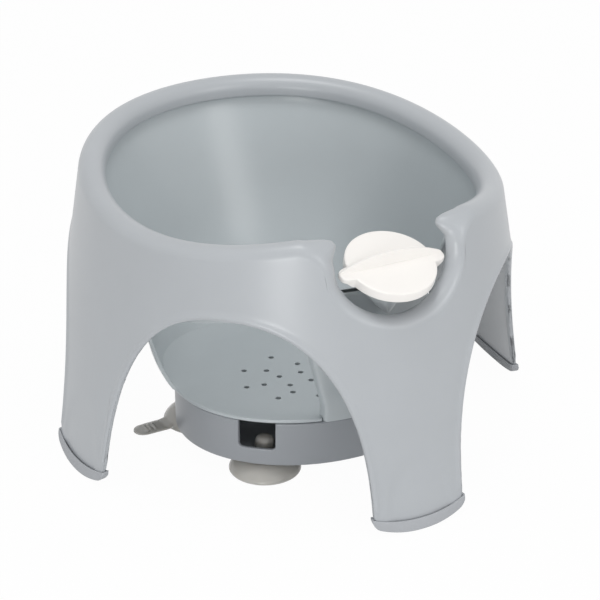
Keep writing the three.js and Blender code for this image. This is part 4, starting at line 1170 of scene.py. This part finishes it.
POST_WIDTHS = [  # shares of the post's height and of its greatest width
    (0, 0.69), (0.13, 0.69), (0.235, 0.785), (0.36, 0.857), (0.49, 0.97), (0.62, 1), (0.74, 1),
    (0.86, 0.94), (0.95, 0.82), (1, 0.64),
]
POST_FORWARD = 0.6 * MM  # from the bucket's front to the post's, backwards
COVER_LOW, COVER_HIGH = 62 * MM, 146 * MM  # recess for the back cover
COVER_SIDE = 6.15 * MM  # from the post's side to the recess
COVER_DEPTH = 1.2 * MM
HEAD_PROFILE = [(0, -27), (11, -27), (11, -8), (0, -8)]  # radius and height on the knob's axis
GUSSET_HEIGHT = (134.5, 17.5)  # millimetres at the gusset's lower end, and what its upper end adds
GUSSET_HALF_WIDTH = (1.6, 15.4)
GUSSET_FRONT = (136, 7.5)
GUSSET_BACK, GUSSET_SHOULDER = -124, 126
TENON_HALF = 18 * MM
TENON_HEIGHTS = np.array([33.3, 33.5, 33.9, 34.5, 38, 44.2]) * MM
TENON_TIP = 34.5 * MM  # the tenon narrows under this height
TENON_NARROW = 1.1 * MM
TENON_FRONT, TENON_BACK = 3.3 * MM, 6.3 * MM  # behind the post's front face at its foot


def post_half_width(p, height):
    """Half the post's width at a height."""
    table = softened(np.array(POST_WIDTHS), 2)
    return p.half_width * np.interp((height - p.foot) / (p.top - p.foot), table[:, 0], table[:, 1])


def post_point(s, x, height, inset):
    """Point behind the post's front face, which follows the bucket's front."""
    reach_x, reach_y, middle = bucket_oval(s, 0.0, height)
    bend = np.sqrt(np.clip(1 - (x / reach_x) ** 2, 0, 1))
    return np.stack([x + 0 * height, middle - reach_y * bend + POST_FORWARD + inset, height + 0 * x], -1)


def post_sheet(s):
    """Outer face of the post: front, rounded sides and back, as one closed sheet."""
    p = s.post
    near = steps(0, 0.03, 0.15, 0.4, 0.8, 1.3, 2, 3, 4.4)
    height = np.concatenate([p.foot + near, np.linspace(p.foot + 0.007, p.top - 0.007, 56),
                             p.top - near[::-1]])
    wide = post_half_width(p, height)[:, None]
    share_in = np.concatenate([near / (30 * MM), np.linspace(0.2, 1, 16)])
    share_across = np.concatenate([-1 + share_in, (1 - share_in)[-2::-1]])
    x = wide * share_across
    z = np.broadcast_to(height[:, None], x.shape)
    slope = np.gradient(wide[:, 0], height)[:, None]
    side_away = (wide - np.abs(x)) / np.sqrt(1 + slope ** 2)
    away = np.minimum(side_away, np.minimum(z - p.foot, p.top - z))
    half = rounded(away, p.round, p.thickness / 2)
    in_cover = (z > COVER_LOW) & (z < COVER_HIGH) & (side_away > COVER_SIDE)
    front = post_point(s, x, z, p.thickness / 2 - half)
    back = post_point(s, x, z, p.thickness / 2 + half - np.where(in_cover, COVER_DEPTH, 0))
    return np.concatenate([front, back[:, ::-1]], 1)


def knob_frame(p):
    """The knob's middle, the direction of its axis and the direction backwards across it."""
    sine, cosine = math.sin(p.knob_tilt), math.cos(p.knob_tilt)
    middle = np.array([0, -p.knob_forward, p.knob_height])
    return middle, np.array([0, -sine, cosine]), np.array([0, cosine, sine])


class BATHSEAT_OT_front_post(bpy.types.Operator):
    """Builds the lift-out post between the leg openings, with its head and gusset"""

    bl_idname = "bathseat.front_post"
    bl_label = "Front post"

    def gusset(self):
        """Pointed keel under the head, wide at its top."""
        outlines = []
        (low, tall), (thin, wider), (near, further) = GUSSET_HEIGHT, GUSSET_HALF_WIDTH, GUSSET_FRONT
        for rise in np.linspace(0, 1, 14):
            height = (low + tall * rise) * MM
            half = (thin + wider * rise ** 0.9) * MM
            front, back = -(near + further * rise ** 0.8) * MM, GUSSET_BACK * MM
            shoulder = -0.5 * (GUSSET_SHOULDER * MM - front)
            corners = [(-half, back), (-half, shoulder), (-half * 0.42, front), (0, front - 0.6 * MM),
                       (half * 0.42, front), (half, shoulder), (half, back)]
            ring = filleted(corners + corners[:1], 1.4 * MM, 4)[:-1]
            outlines.append(np.column_stack([ring, np.full(len(ring), height)]))
        return capped_mesh("gusset", outlines)

    def tenon(self, s):
        """Tongue under the post that stands in the pan's slot."""
        line = np.linspace(-1, 1, 25) * TENON_HALF
        level = np.full(len(line), BOWL_FOOT)
        outlines = []
        for height in TENON_HEIGHTS:
            shrink = TENON_NARROW * (1 - eased(height, TENON_HEIGHTS[0], TENON_TIP))
            reach = line * (1 - shrink / TENON_HALF)
            front = post_point(s, reach, level, TENON_FRONT + shrink)
            back = post_point(s, reach, level, TENON_BACK - shrink)
            ring = np.concatenate([front, back[::-1]])
            ring[:, 2] = height
            outlines.append(ring)
        return capped_mesh("tenon", outlines)

    def execute(self, context):
        s = context.scene.bath_seat
        mesh = capped_mesh("front_post_moulding", post_sheet(s))
        centre, up, _ = knob_frame(s.post)
        head = lathe(filleted(HEAD_PROFILE, 1.3) * MM, 64, centre, up, ACROSS)
        parts = [closed_mesh("head", head), self.gusset(), self.tenon(s)]
        post = add_object("front_post_moulding", joined(mesh, parts))
        post.data.set_sharp_from_angle(angle=math.radians(42))
        place(post, "post", plastic("post_plastic", s.colours.bucket, 0.3), "bucket_plastic", "front_post")
        return {"FINISHED"}


class BATHSEAT_OT_lock_knob(bpy.types.Operator):
    """Builds the lock knob: crowned disc with a skirt, a leaf blade and two wings"""

    bl_idname = "bathseat.lock_knob"
    bl_label = "Lock knob"

    def blade(self, p):
        """Leaf from wing to wing: a hollow front face, a soft ridge and a round back."""
        centre, up, back = knob_frame(p)
        along = np.sin(np.linspace(-np.pi / 2, np.pi / 2, 91))
        off = np.abs(along)
        lowest, shift = 0.4, 0.2 * MM
        high = (lowest + (p.blade_height / MM - lowest) * np.clip(1 - off ** 2.2, 0, 1)) * MM
        fade = np.clip(1 - off ** 2.4, 0.02, 1) ** 0.6
        line = np.linspace(0, 1, 15)
        over = np.linspace(0, np.pi / 2, 14)[1:]
        # the section: millimetres backwards, and shares of the leaf's height
        across = np.concatenate([-2.9 + 3.1 * line, 0.2 + 4.6 * np.sin(over), [4.2, -2.6]])
        level = np.concatenate([line ** 1.1, np.cos(over) ** 0.8, [-0.12, -0.12]])
        return (centre + 0.985 * p.blade_reach * along[:, None, None] * ACROSS
                + (fade[:, None] * across * MM - shift)[..., None] * back
                + (high[:, None] * level)[..., None] * up)

    def disc(self, p, profile):
        """Crowned disc with its skirt, whose edge runs out into two blunt wings."""
        centre, up, back = knob_frame(p)
        angle = np.linspace(0, 2 * np.pi, 360, endpoint=False)
        forward, half_spread, sharp = math.radians(3.2), math.radians(12.5), 11
        off = (angle + np.pi / 2) % np.pi - np.pi / 2 + np.where(np.cos(angle) > 0, 1, -1) * forward
        wing = p.blade_reach * np.clip(1 - (np.abs(off) / half_spread) ** 3, 0, 1) ** 0.25
        edge = (p.knob_radius ** sharp + wing ** sharp) ** (1 / sharp) / p.knob_radius
        radius, level = profile[:, 0][:, None], profile[:, 1][:, None]
        stretch = 1 + (edge - 1) * eased(radius, 0.75 * p.knob_radius, 0.97 * p.knob_radius)
        inwing = eased(edge, 1.04, 1.2)
        thin = 1 - 0.5 * inwing * eased(-level, 0, p.knob_skirt)
        level = np.where(level > -p.knob_skirt * 1.01, level * thin, level)
        reach = (radius * stretch)[..., None]
        return centre + level[..., None] * up + reach * (np.cos(angle)[:, None] * ACROSS
                                                         + np.sin(angle)[:, None] * back)

    def execute(self, context):
        s = context.scene.bath_seat
        p = s.post
        reach, skirt = p.knob_radius / MM, p.knob_skirt / MM
        stem, collar, inner = 4.2, 9, reach - 2.4
        profile = filleted([
            (0, -27.3), (stem, -27.3), (stem, -7.7), (collar, -7.7), (collar, -2.6), (inner, -2.6),
            (inner, -skirt), (reach, -skirt), (reach, 0), (reach - 2.2, 0.3), (reach * 0.6, 0.95), (0, 1.3),
        ], 1, 6) * MM
        mesh = closed_mesh("lock_knob_moulding", self.disc(p, profile))
        knob = add_object("lock_knob_moulding", joined(mesh, [capped_mesh("leaf", self.blade(p))]))
        knob.data.set_sharp_from_angle(angle=math.radians(55))
        place(knob, "knob", plastic("knob_plastic", s.colours.knob, 0.28), "knob_plastic", "lock_knob")
        return {"FINISHED"}


# Screws and the hidden pieces

SCREW_PITCH = 1.25 * MM
SEAT_SCREW, RIM_SCREW, POST_SCREW, KNOB_SCREW = 16 * MM, 14 * MM, 6 * MM, 12 * MM  # shank lengths
RIM_SCREW_SEAT = 0.3 * MM  # from a lug's underside down to its screw's head
POST_SCREW_HEIGHTS = (75 * MM, 115 * MM)
POST_SCREW_INSET = 0.9 * MM
KNOB_SCREW_DROP = 28.9 * MM  # from the knob's middle


def screw_tree():
    """Screw with a domed head, cross recess and ringed shank at each point, along its axis."""
    tree, start, end = new_tree("Screws", [
        ("Head Radius", "NodeSocketFloat"), ("Head Height", "NodeSocketFloat"),
        ("Shank Radius", "NodeSocketFloat"), ("Shank Length", "NodeSocketFloat"),
        ("Recess Width", "NodeSocketFloat"), ("Finish", "NodeSocketMaterial")])
    given, maths = start.outputs, functools.partial(calculated, tree)

    def shaped(mesh, scale):
        """The mesh with every point's distance from the axis scaled."""
        at = add_node(tree, "GeometryNodeInputPosition")
        parts = add_node(tree, "ShaderNodeSeparateXYZ", i0=at.outputs[0])
        scaled = add_node(tree, "ShaderNodeCombineXYZ", i0=maths("MULTIPLY", parts.outputs[0], scale(parts)),
                          i1=maths("MULTIPLY", parts.outputs[1], scale(parts)), i2=parts.outputs[2])
        return add_node(tree, "GeometryNodeSetPosition", Geometry=mesh, Position=scaled.outputs[0]).outputs[0]

    def moved(mesh, height):
        """The mesh moved along the axis."""
        way = add_node(tree, "ShaderNodeCombineXYZ", i2=height).outputs[0]
        return add_node(tree, "GeometryNodeTransform", Geometry=mesh, Translation=way).outputs[0]

    head = add_node(tree, "GeometryNodeMeshCylinder", i0=40, i1=8, i3=given["Head Radius"],
                    i4=given["Head Height"])
    head = moved(head.outputs["Mesh"], maths("MULTIPLY", given["Head Height"], -0.5))

    def dome(parts):
        """Narrower towards the head's outer face."""
        rise = maths("DIVIDE", parts.outputs[2], maths("MULTIPLY", given["Head Height"], -1.0))
        bend = maths("POWER", maths("MAXIMUM", rise, 0.0), 3.5)
        return maths("SUBTRACT", 1.0, maths("MULTIPLY", bend, 0.27))

    head = shaped(head, dome)
    cut = add_node(tree, "GeometryNodeMeshBoolean", {"operation": "DIFFERENCE", "solver": "EXACT"})
    tree.links.new(head, cut.inputs["Mesh 1"])
    slot = (maths("MULTIPLY", given["Head Radius"], 1.15), given["Recess Width"])
    for wide, deep in (slot, slot[::-1]):
        size = add_node(tree, "ShaderNodeCombineXYZ", i0=wide, i1=deep, i2=given["Head Height"])
        cube = add_node(tree, "GeometryNodeMeshCube", i0=size.outputs[0])
        sunk = moved(cube.outputs["Mesh"], maths("MULTIPLY", given["Head Height"], -1.0))
        tree.links.new(sunk, cut.inputs["Mesh 2"])
    shank = add_node(tree, "GeometryNodeMeshCylinder", i0=20, i1=64, i3=given["Shank Radius"],
                     i4=given["Shank Length"])
    shank = moved(shank.outputs["Mesh"], maths("MULTIPLY", given["Shank Length"], 0.5))

    def thread(parts):
        """Rings round the shank at the thread's pitch."""
        wave = maths("SINE", maths("MULTIPLY", parts.outputs[2], 2 * math.pi / SCREW_PITCH))
        return maths("ADD", 0.9, maths("MULTIPLY", wave, 0.1))

    shank = shaped(shank, thread)
    whole = add_node(tree, "GeometryNodeJoinGeometry")
    tree.links.new(cut.outputs["Mesh"], whole.inputs[0])
    tree.links.new(shank, whole.inputs[0])
    axis = add_node(tree, "GeometryNodeInputNamedAttribute", {"data_type": "FLOAT_VECTOR"}, Name="axis")
    aim = add_node(tree, "FunctionNodeAlignRotationToVector", {"axis": "Z"}, Vector=axis.outputs["Attribute"])
    set_in = add_node(tree, "GeometryNodeInstanceOnPoints", Points=given["Geometry"],
                      Instance=whole.outputs[0], Rotation=aim.outputs[0])
    real = add_node(tree, "GeometryNodeRealizeInstances", Geometry=set_in.outputs["Instances"])
    dressed = add_node(tree, "GeometryNodeSetMaterial", Geometry=real.outputs["Geometry"],
                       Material=given["Finish"])
    tree.links.new(dressed.outputs["Geometry"], end.inputs["Geometry"])
    return tree


class BATHSEAT_OT_screws(bpy.types.Operator):
    """Builds every screw: under the base, under the rim, in the post and in the knob"""

    bl_idname = "bathseat.screws"
    bl_label = "Screws"

    def run(self, tree, sizes, name, body, groups, finish, nodes):
        """One piece from groups of (places, axis, shank length)."""
        meshes = []
        for places, axis, shank in groups:
            marks = bpy.data.meshes.new("screw_places")
            marks.from_pydata([tuple(float(value) for value in spot) for spot in places], [], [])
            field = marks.attributes.new("axis", "FLOAT_VECTOR", "POINT")
            field.data.foreach_set("vector", np.tile(np.array(axis, float), len(places)))
            spots = add_object("screw_places", marks)
            grow(spots, tree, {"Head Radius": sizes.head_radius, "Head Height": sizes.head_height,
                               "Shank Radius": sizes.shank_radius, "Shank Length": shank,
                               "Recess Width": sizes.recess, "Finish": finish})
            made = finished(spots)
            meshes.append(made.data)
            bpy.data.objects.remove(made)
        screws = add_object(name, joined(meshes[0], meshes[1:]))
        screws.data.set_sharp_from_angle(angle=math.radians(35))
        place(screws, body, finish, "steel", *nodes)

    def execute(self, context):
        s = context.scene.bath_seat
        tree, finish = screw_tree(), steel("screw_steel", s.colours.steel)
        up, back = (0, 0, 1), (0, 1, 0)
        base = [(x * MM, y * MM, s.base.low) for x, y in BASE_SCREWS]
        rim = [(reach * math.sin(angle), -reach * math.cos(angle), low - RIM_SCREW_SEAT)
               for angle, low, reach in rim_fixings(s.shell)]
        corners = ("front_left", "front_right", "rear_left", "rear_right")
        seat = [(base, up, SEAT_SCREW), (rim, up, RIM_SCREW)]
        self.run(tree, s.screws, "seat_screws", "seat", seat, finish,
                 [*(f"base_screw_{corner}" for corner in corners),
                  *(f"rim_screw_{side}" for side in ("right", "rear", "left"))])
        post = [post_point(s, 0.0, height, POST_SCREW_INSET) for height in POST_SCREW_HEIGHTS]
        self.run(tree, s.screws, "post_screws", "post", [(post, back, POST_SCREW)], finish,
                 ["post_screw_low", "post_screw_high"])
        centre, axis, _ = knob_frame(s.post)
        knob = [centre - axis * KNOB_SCREW_DROP]
        self.run(tree, s.screws, "knob_holding_screw", "knob", [(knob, axis, KNOB_SCREW)], finish,
                 ["knob_screw"])
        return {"FINISHED"}


class BATHSEAT_OT_hidden_pieces(bpy.types.Operator):
    """Gives the base plate, the post's back cover and the knob's washer their finishes"""

    bl_idname = "bathseat.hidden_pieces"
    bl_label = "Plate, cover and washer"

    def execute(self, context):
        colours = context.scene.bath_seat.colours
        finishes = {
            "base_plate": plastic("plate_plastic", colours.base, 0.42),
            "post_back_cover": plastic("cover_plastic", colours.bucket, 0.36),
            "knob_washer": steel("washer_steel", colours.steel),
        }
        for node, finish in finishes.items():
            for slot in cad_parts[node].material_slots:
                slot.material = finish
        return {"FINISHED"}


# Finishes


def surface_group():
    """Shader group: moulded surface with faint clouding, fine grain and rubbed patches."""
    tree = bpy.data.node_groups.get("Moulded surface")
    if tree:
        return tree
    tree = bpy.data.node_groups.new("Moulded surface", "ShaderNodeTree")
    face, maths = tree.interface, functools.partial(calculated, tree)
    for label, kind, default in (
            ("Colour", "NodeSocketColor", (0.5, 0.5, 0.5, 1)), ("Clouding", "NodeSocketFloat", 0.03),
            ("Cloud Size", "NodeSocketFloat", 18.0), ("Grain Size", "NodeSocketFloat", 900.0),
            ("Roughness", "NodeSocketFloat", 0.35), ("Rubbing", "NodeSocketFloat", 0.06)):
        face.new_socket(label, in_out="INPUT", socket_type=kind).default_value = default
    for label, kind in (("Colour", "NodeSocketColor"), ("Roughness", "NodeSocketFloat"),
                        ("Height", "NodeSocketFloat")):
        face.new_socket(label, in_out="OUTPUT", socket_type=kind)
    start, end = tree.nodes.new("NodeGroupInput").outputs, tree.nodes.new("NodeGroupOutput").inputs
    at = add_node(tree, "ShaderNodeTexCoord").outputs["Object"]
    cloud, grain, rub = (
        add_node(tree, "ShaderNodeTexNoise", Vector=at, Scale=size, Detail=detail, Roughness=rough,
                 Distortion=distortion)
        for size, detail, rough, distortion in ((start["Cloud Size"], 4.0, 0.6, 0.0),
                                                (start["Grain Size"], 3.0, 0.55, 0.0), (62.0, 6.0, 0.7, 0.6)))
    level = add_node(tree, "ShaderNodeMapRange", i0=cloud.outputs["Fac"], i1=0.3, i2=0.7, i3=-1.0, i4=1.0)
    value = maths("ADD", maths("MULTIPLY", level.outputs[0], start["Clouding"]), 1.0)
    tinted = add_node(tree, "ShaderNodeHueSaturation", Color=start["Colour"], Value=value)
    patch = add_node(tree, "ShaderNodeMapRange", i0=rub.outputs["Fac"], i1=0.4, i2=0.65, i3=-1.0, i4=1.0)
    wear = maths("MULTIPLY", patch.outputs[0], start["Rubbing"])
    tree.links.new(tinted.outputs["Color"], end["Colour"])
    tree.links.new(maths("ADD", wear, start["Roughness"], clamp=True), end["Roughness"])
    tree.links.new(grain.outputs["Fac"], end["Height"])
    return tree


def dressed_material(name, tint, values, bump, settings):
    """Material on the moulded surface group. The settings go to the shader's own sockets."""
    material = bpy.data.materials.new(name)
    material.use_nodes = True
    tree = material.node_tree
    shader = tree.nodes["Principled BSDF"]
    surface = add_node(tree, "ShaderNodeGroup", {"node_tree": surface_group()})
    surface.inputs["Colour"].default_value = tuple(tint)
    for label, value in values.items():
        surface.inputs[label].default_value = value
    relief = add_node(tree, "ShaderNodeBump", Height=surface.outputs["Height"], Strength=bump,
                      Distance=0.1 * MM)
    tree.links.new(surface.outputs["Colour"], shader.inputs["Base Color"])
    tree.links.new(surface.outputs["Roughness"], shader.inputs["Roughness"])
    tree.links.new(relief.outputs["Normal"], shader.inputs["Normal"])
    for label, value in settings.items():
        shader.inputs[label].default_value = value
    return material


def plastic(name, tint, roughness):
    """Satin moulded plastic."""
    return dressed_material(name, tint, {"Clouding": 0.018, "Roughness": roughness, "Rubbing": 0.005}, 0.12,
                            {"Specular IOR Level": 0.5, "Coat Weight": 0.1, "Coat Roughness": 0.3})


def rubber(name, tint):
    """Dull rubber with a fine grain."""
    return dressed_material(name, tint, {"Clouding": 0.03, "Grain Size": 1400.0, "Roughness": 0.62,
                                         "Rubbing": 0.08}, 0.35, {"Specular IOR Level": 0.4})


def cup_rubber(name, tint):
    """Milky soft rubber that lets some light through."""
    return dressed_material(name, tint, {"Clouding": 0.025, "Cloud Size": 40.0, "Roughness": 0.18,
                                         "Rubbing": 0.04}, 0.1,
                            {"Subsurface Weight": 0.6, "Subsurface Radius": (0.006, 0.0055, 0.005),
                             "Subsurface Scale": 1.0, "Specular IOR Level": 0.5})


def steel(name, tint):
    """Bright turned steel."""
    return dressed_material(name, tint, {"Clouding": 0.03, "Cloud Size": 300.0, "Grain Size": 3000.0,
                                         "Roughness": 0.26, "Rubbing": 0.08}, 0.2, {"Metallic": 1.0})


# Floor, light and camera

FLOOR_REACH = 6
LAMPS = [  # name, place, point that it aims at, diameter and power
    ("key", (0.45, -1.3, 0.9), (0, 0, 0.1), 0.5, 3),
    ("top", (-0.1, -0.1, 1.55), (0, 0, 0.05), 0.6, 5),
    ("fill", (-0.8, -1.05, 0.22), (-0.03, -0.03, 0.05), 0.35, 3.5),
]
CAMERA_PLACE = (-0.5566, -1.0761, 0.6805)
CAMERA_AXES = (  # to the picture's right, up and back towards the camera
    (0.88574, -0.46418, 0), (0.20502, 0.39122, 0.89717), (-0.41644, -0.79466, 0.44169),
)


class BATHSEAT_OT_stage(bpy.types.Operator):
    """Sets the white floor, the studio lights, the world and the camera"""

    bl_idname = "bathseat.stage"
    bl_label = "Floor, lights and camera"

    def unseen(self, tree):
        """1 for camera, glossy and transmission rays, 0 for light that falls on the object."""
        path = add_node(tree, "ShaderNodeLightPath").outputs
        either = calculated(tree, "MAXIMUM", path["Is Camera Ray"], path["Is Glossy Ray"])
        return calculated(tree, "MAXIMUM", either, path["Is Transmission Ray"])

    def floor(self):
        mesh = bpy.data.meshes.new("floor")
        corners = [(x * FLOOR_REACH, y * FLOOR_REACH, 0) for x, y in ((-1, -1), (1, -1), (1, 1), (-1, 1))]
        mesh.from_pydata(corners, [], [(0, 1, 2, 3)])
        floor = add_object("floor", mesh)
        material = bpy.data.materials.new("floor_white")
        material.use_nodes = True
        tree = material.node_tree
        tree.nodes.clear()
        matt = add_node(tree, "ShaderNodeBsdfDiffuse", Color=(0.8, 0.8, 0.8, 1))
        glow = add_node(tree, "ShaderNodeEmission", Color=(1, 1, 1, 1), Strength=1.0)
        seen = calculated(tree, "MULTIPLY", self.unseen(tree), 0.97)
        both = add_node(tree, "ShaderNodeMixShader", i0=seen, i1=matt.outputs[0], i2=glow.outputs[0])
        out = tree.nodes.new("ShaderNodeOutputMaterial")
        tree.links.new(both.outputs[0], out.inputs["Surface"])
        mesh.materials.append(material)

    def world(self, scene):
        world = bpy.data.worlds.new("white_room")
        scene.world = world
        world.use_nodes = True
        tree = world.node_tree
        back = tree.nodes["Background"]
        strength = add_node(tree, "ShaderNodeMapRange", i0=self.unseen(tree), i3=0.66, i4=1.0)
        back.inputs["Color"].default_value = (1, 1, 1, 1)
        tree.links.new(strength.outputs[0], back.inputs["Strength"])

    def lamp(self, name, spot, aim, size, power):
        light = bpy.data.lights.new(name, "AREA")
        light.shape, light.size, light.energy = "DISK", size, power
        made = add_object(name, light)
        made.location = spot
        made.rotation_euler = (Vector(aim) - Vector(spot)).to_track_quat("-Z", "Y").to_euler()

    def camera(self, scene):
        lens = bpy.data.cameras.new("photo_camera")
        lens.sensor_width, lens.lens = 36, 114
        lens.clip_start, lens.clip_end = 0.05, 30
        camera = add_object("photo_camera", lens)
        turned = Matrix(CAMERA_AXES).transposed()
        camera.matrix_world = Matrix.Translation(CAMERA_PLACE) @ turned.to_4x4()
        scene.camera = camera

    def execute(self, context):
        scene = context.scene
        scene.view_settings.view_transform = "Standard"
        self.floor()
        self.world(scene)
        for name, spot, aim, size, power in LAMPS:
            self.lamp(name, spot, aim, size, power)
        self.camera(scene)
        return {"FINISHED"}


OPERATORS = (
    BATHSEAT_OT_stage, BATHSEAT_OT_outer_shell, BATHSEAT_OT_seat_bucket, BATHSEAT_OT_foot_pads,
    BATHSEAT_OT_seat_base, BATHSEAT_OT_suction_cups, BATHSEAT_OT_front_post, BATHSEAT_OT_lock_knob,
    BATHSEAT_OT_screws, BATHSEAT_OT_hidden_pieces,
)


class BATHSEAT_PT_panel(bpy.types.Panel):
    """Lists the pieces of the bath seat and their sizes"""

    bl_idname = "BATHSEAT_PT_panel"
    bl_label = "Baby bath seat"
    bl_space_type = "VIEW_3D"
    bl_region_type = "UI"
    bl_category = "Bath seat"

    def draw(self, context):
        layout = self.layout
        for operator in OPERATORS:
            layout.operator(operator.bl_idname)
        seat = context.scene.bath_seat
        for part in seat.__annotations__:
            box, group = layout.box(), getattr(seat, part)
            for name in group.__annotations__:
                box.prop(group, name)


CLASSES = (ShellSizes, BucketSizes, BaseSizes, PostSizes, ScrewSizes, Colours, BathSeat, *OPERATORS,
           BATHSEAT_PT_panel)


def register():
    for kind in CLASSES:
        bpy.utils.register_class(kind)
    bpy.types.Scene.bath_seat = PointerProperty(type=BathSeat)


def unregister():
    del bpy.types.Scene.bath_seat
    for kind in reversed(CLASSES):
        bpy.utils.unregister_class(kind)


def main():
    register()
    for operator in OPERATORS:
        group, name = operator.bl_idname.split(".")
        getattr(getattr(bpy.ops, group), name)()


if __name__ == "__main__":
    main()
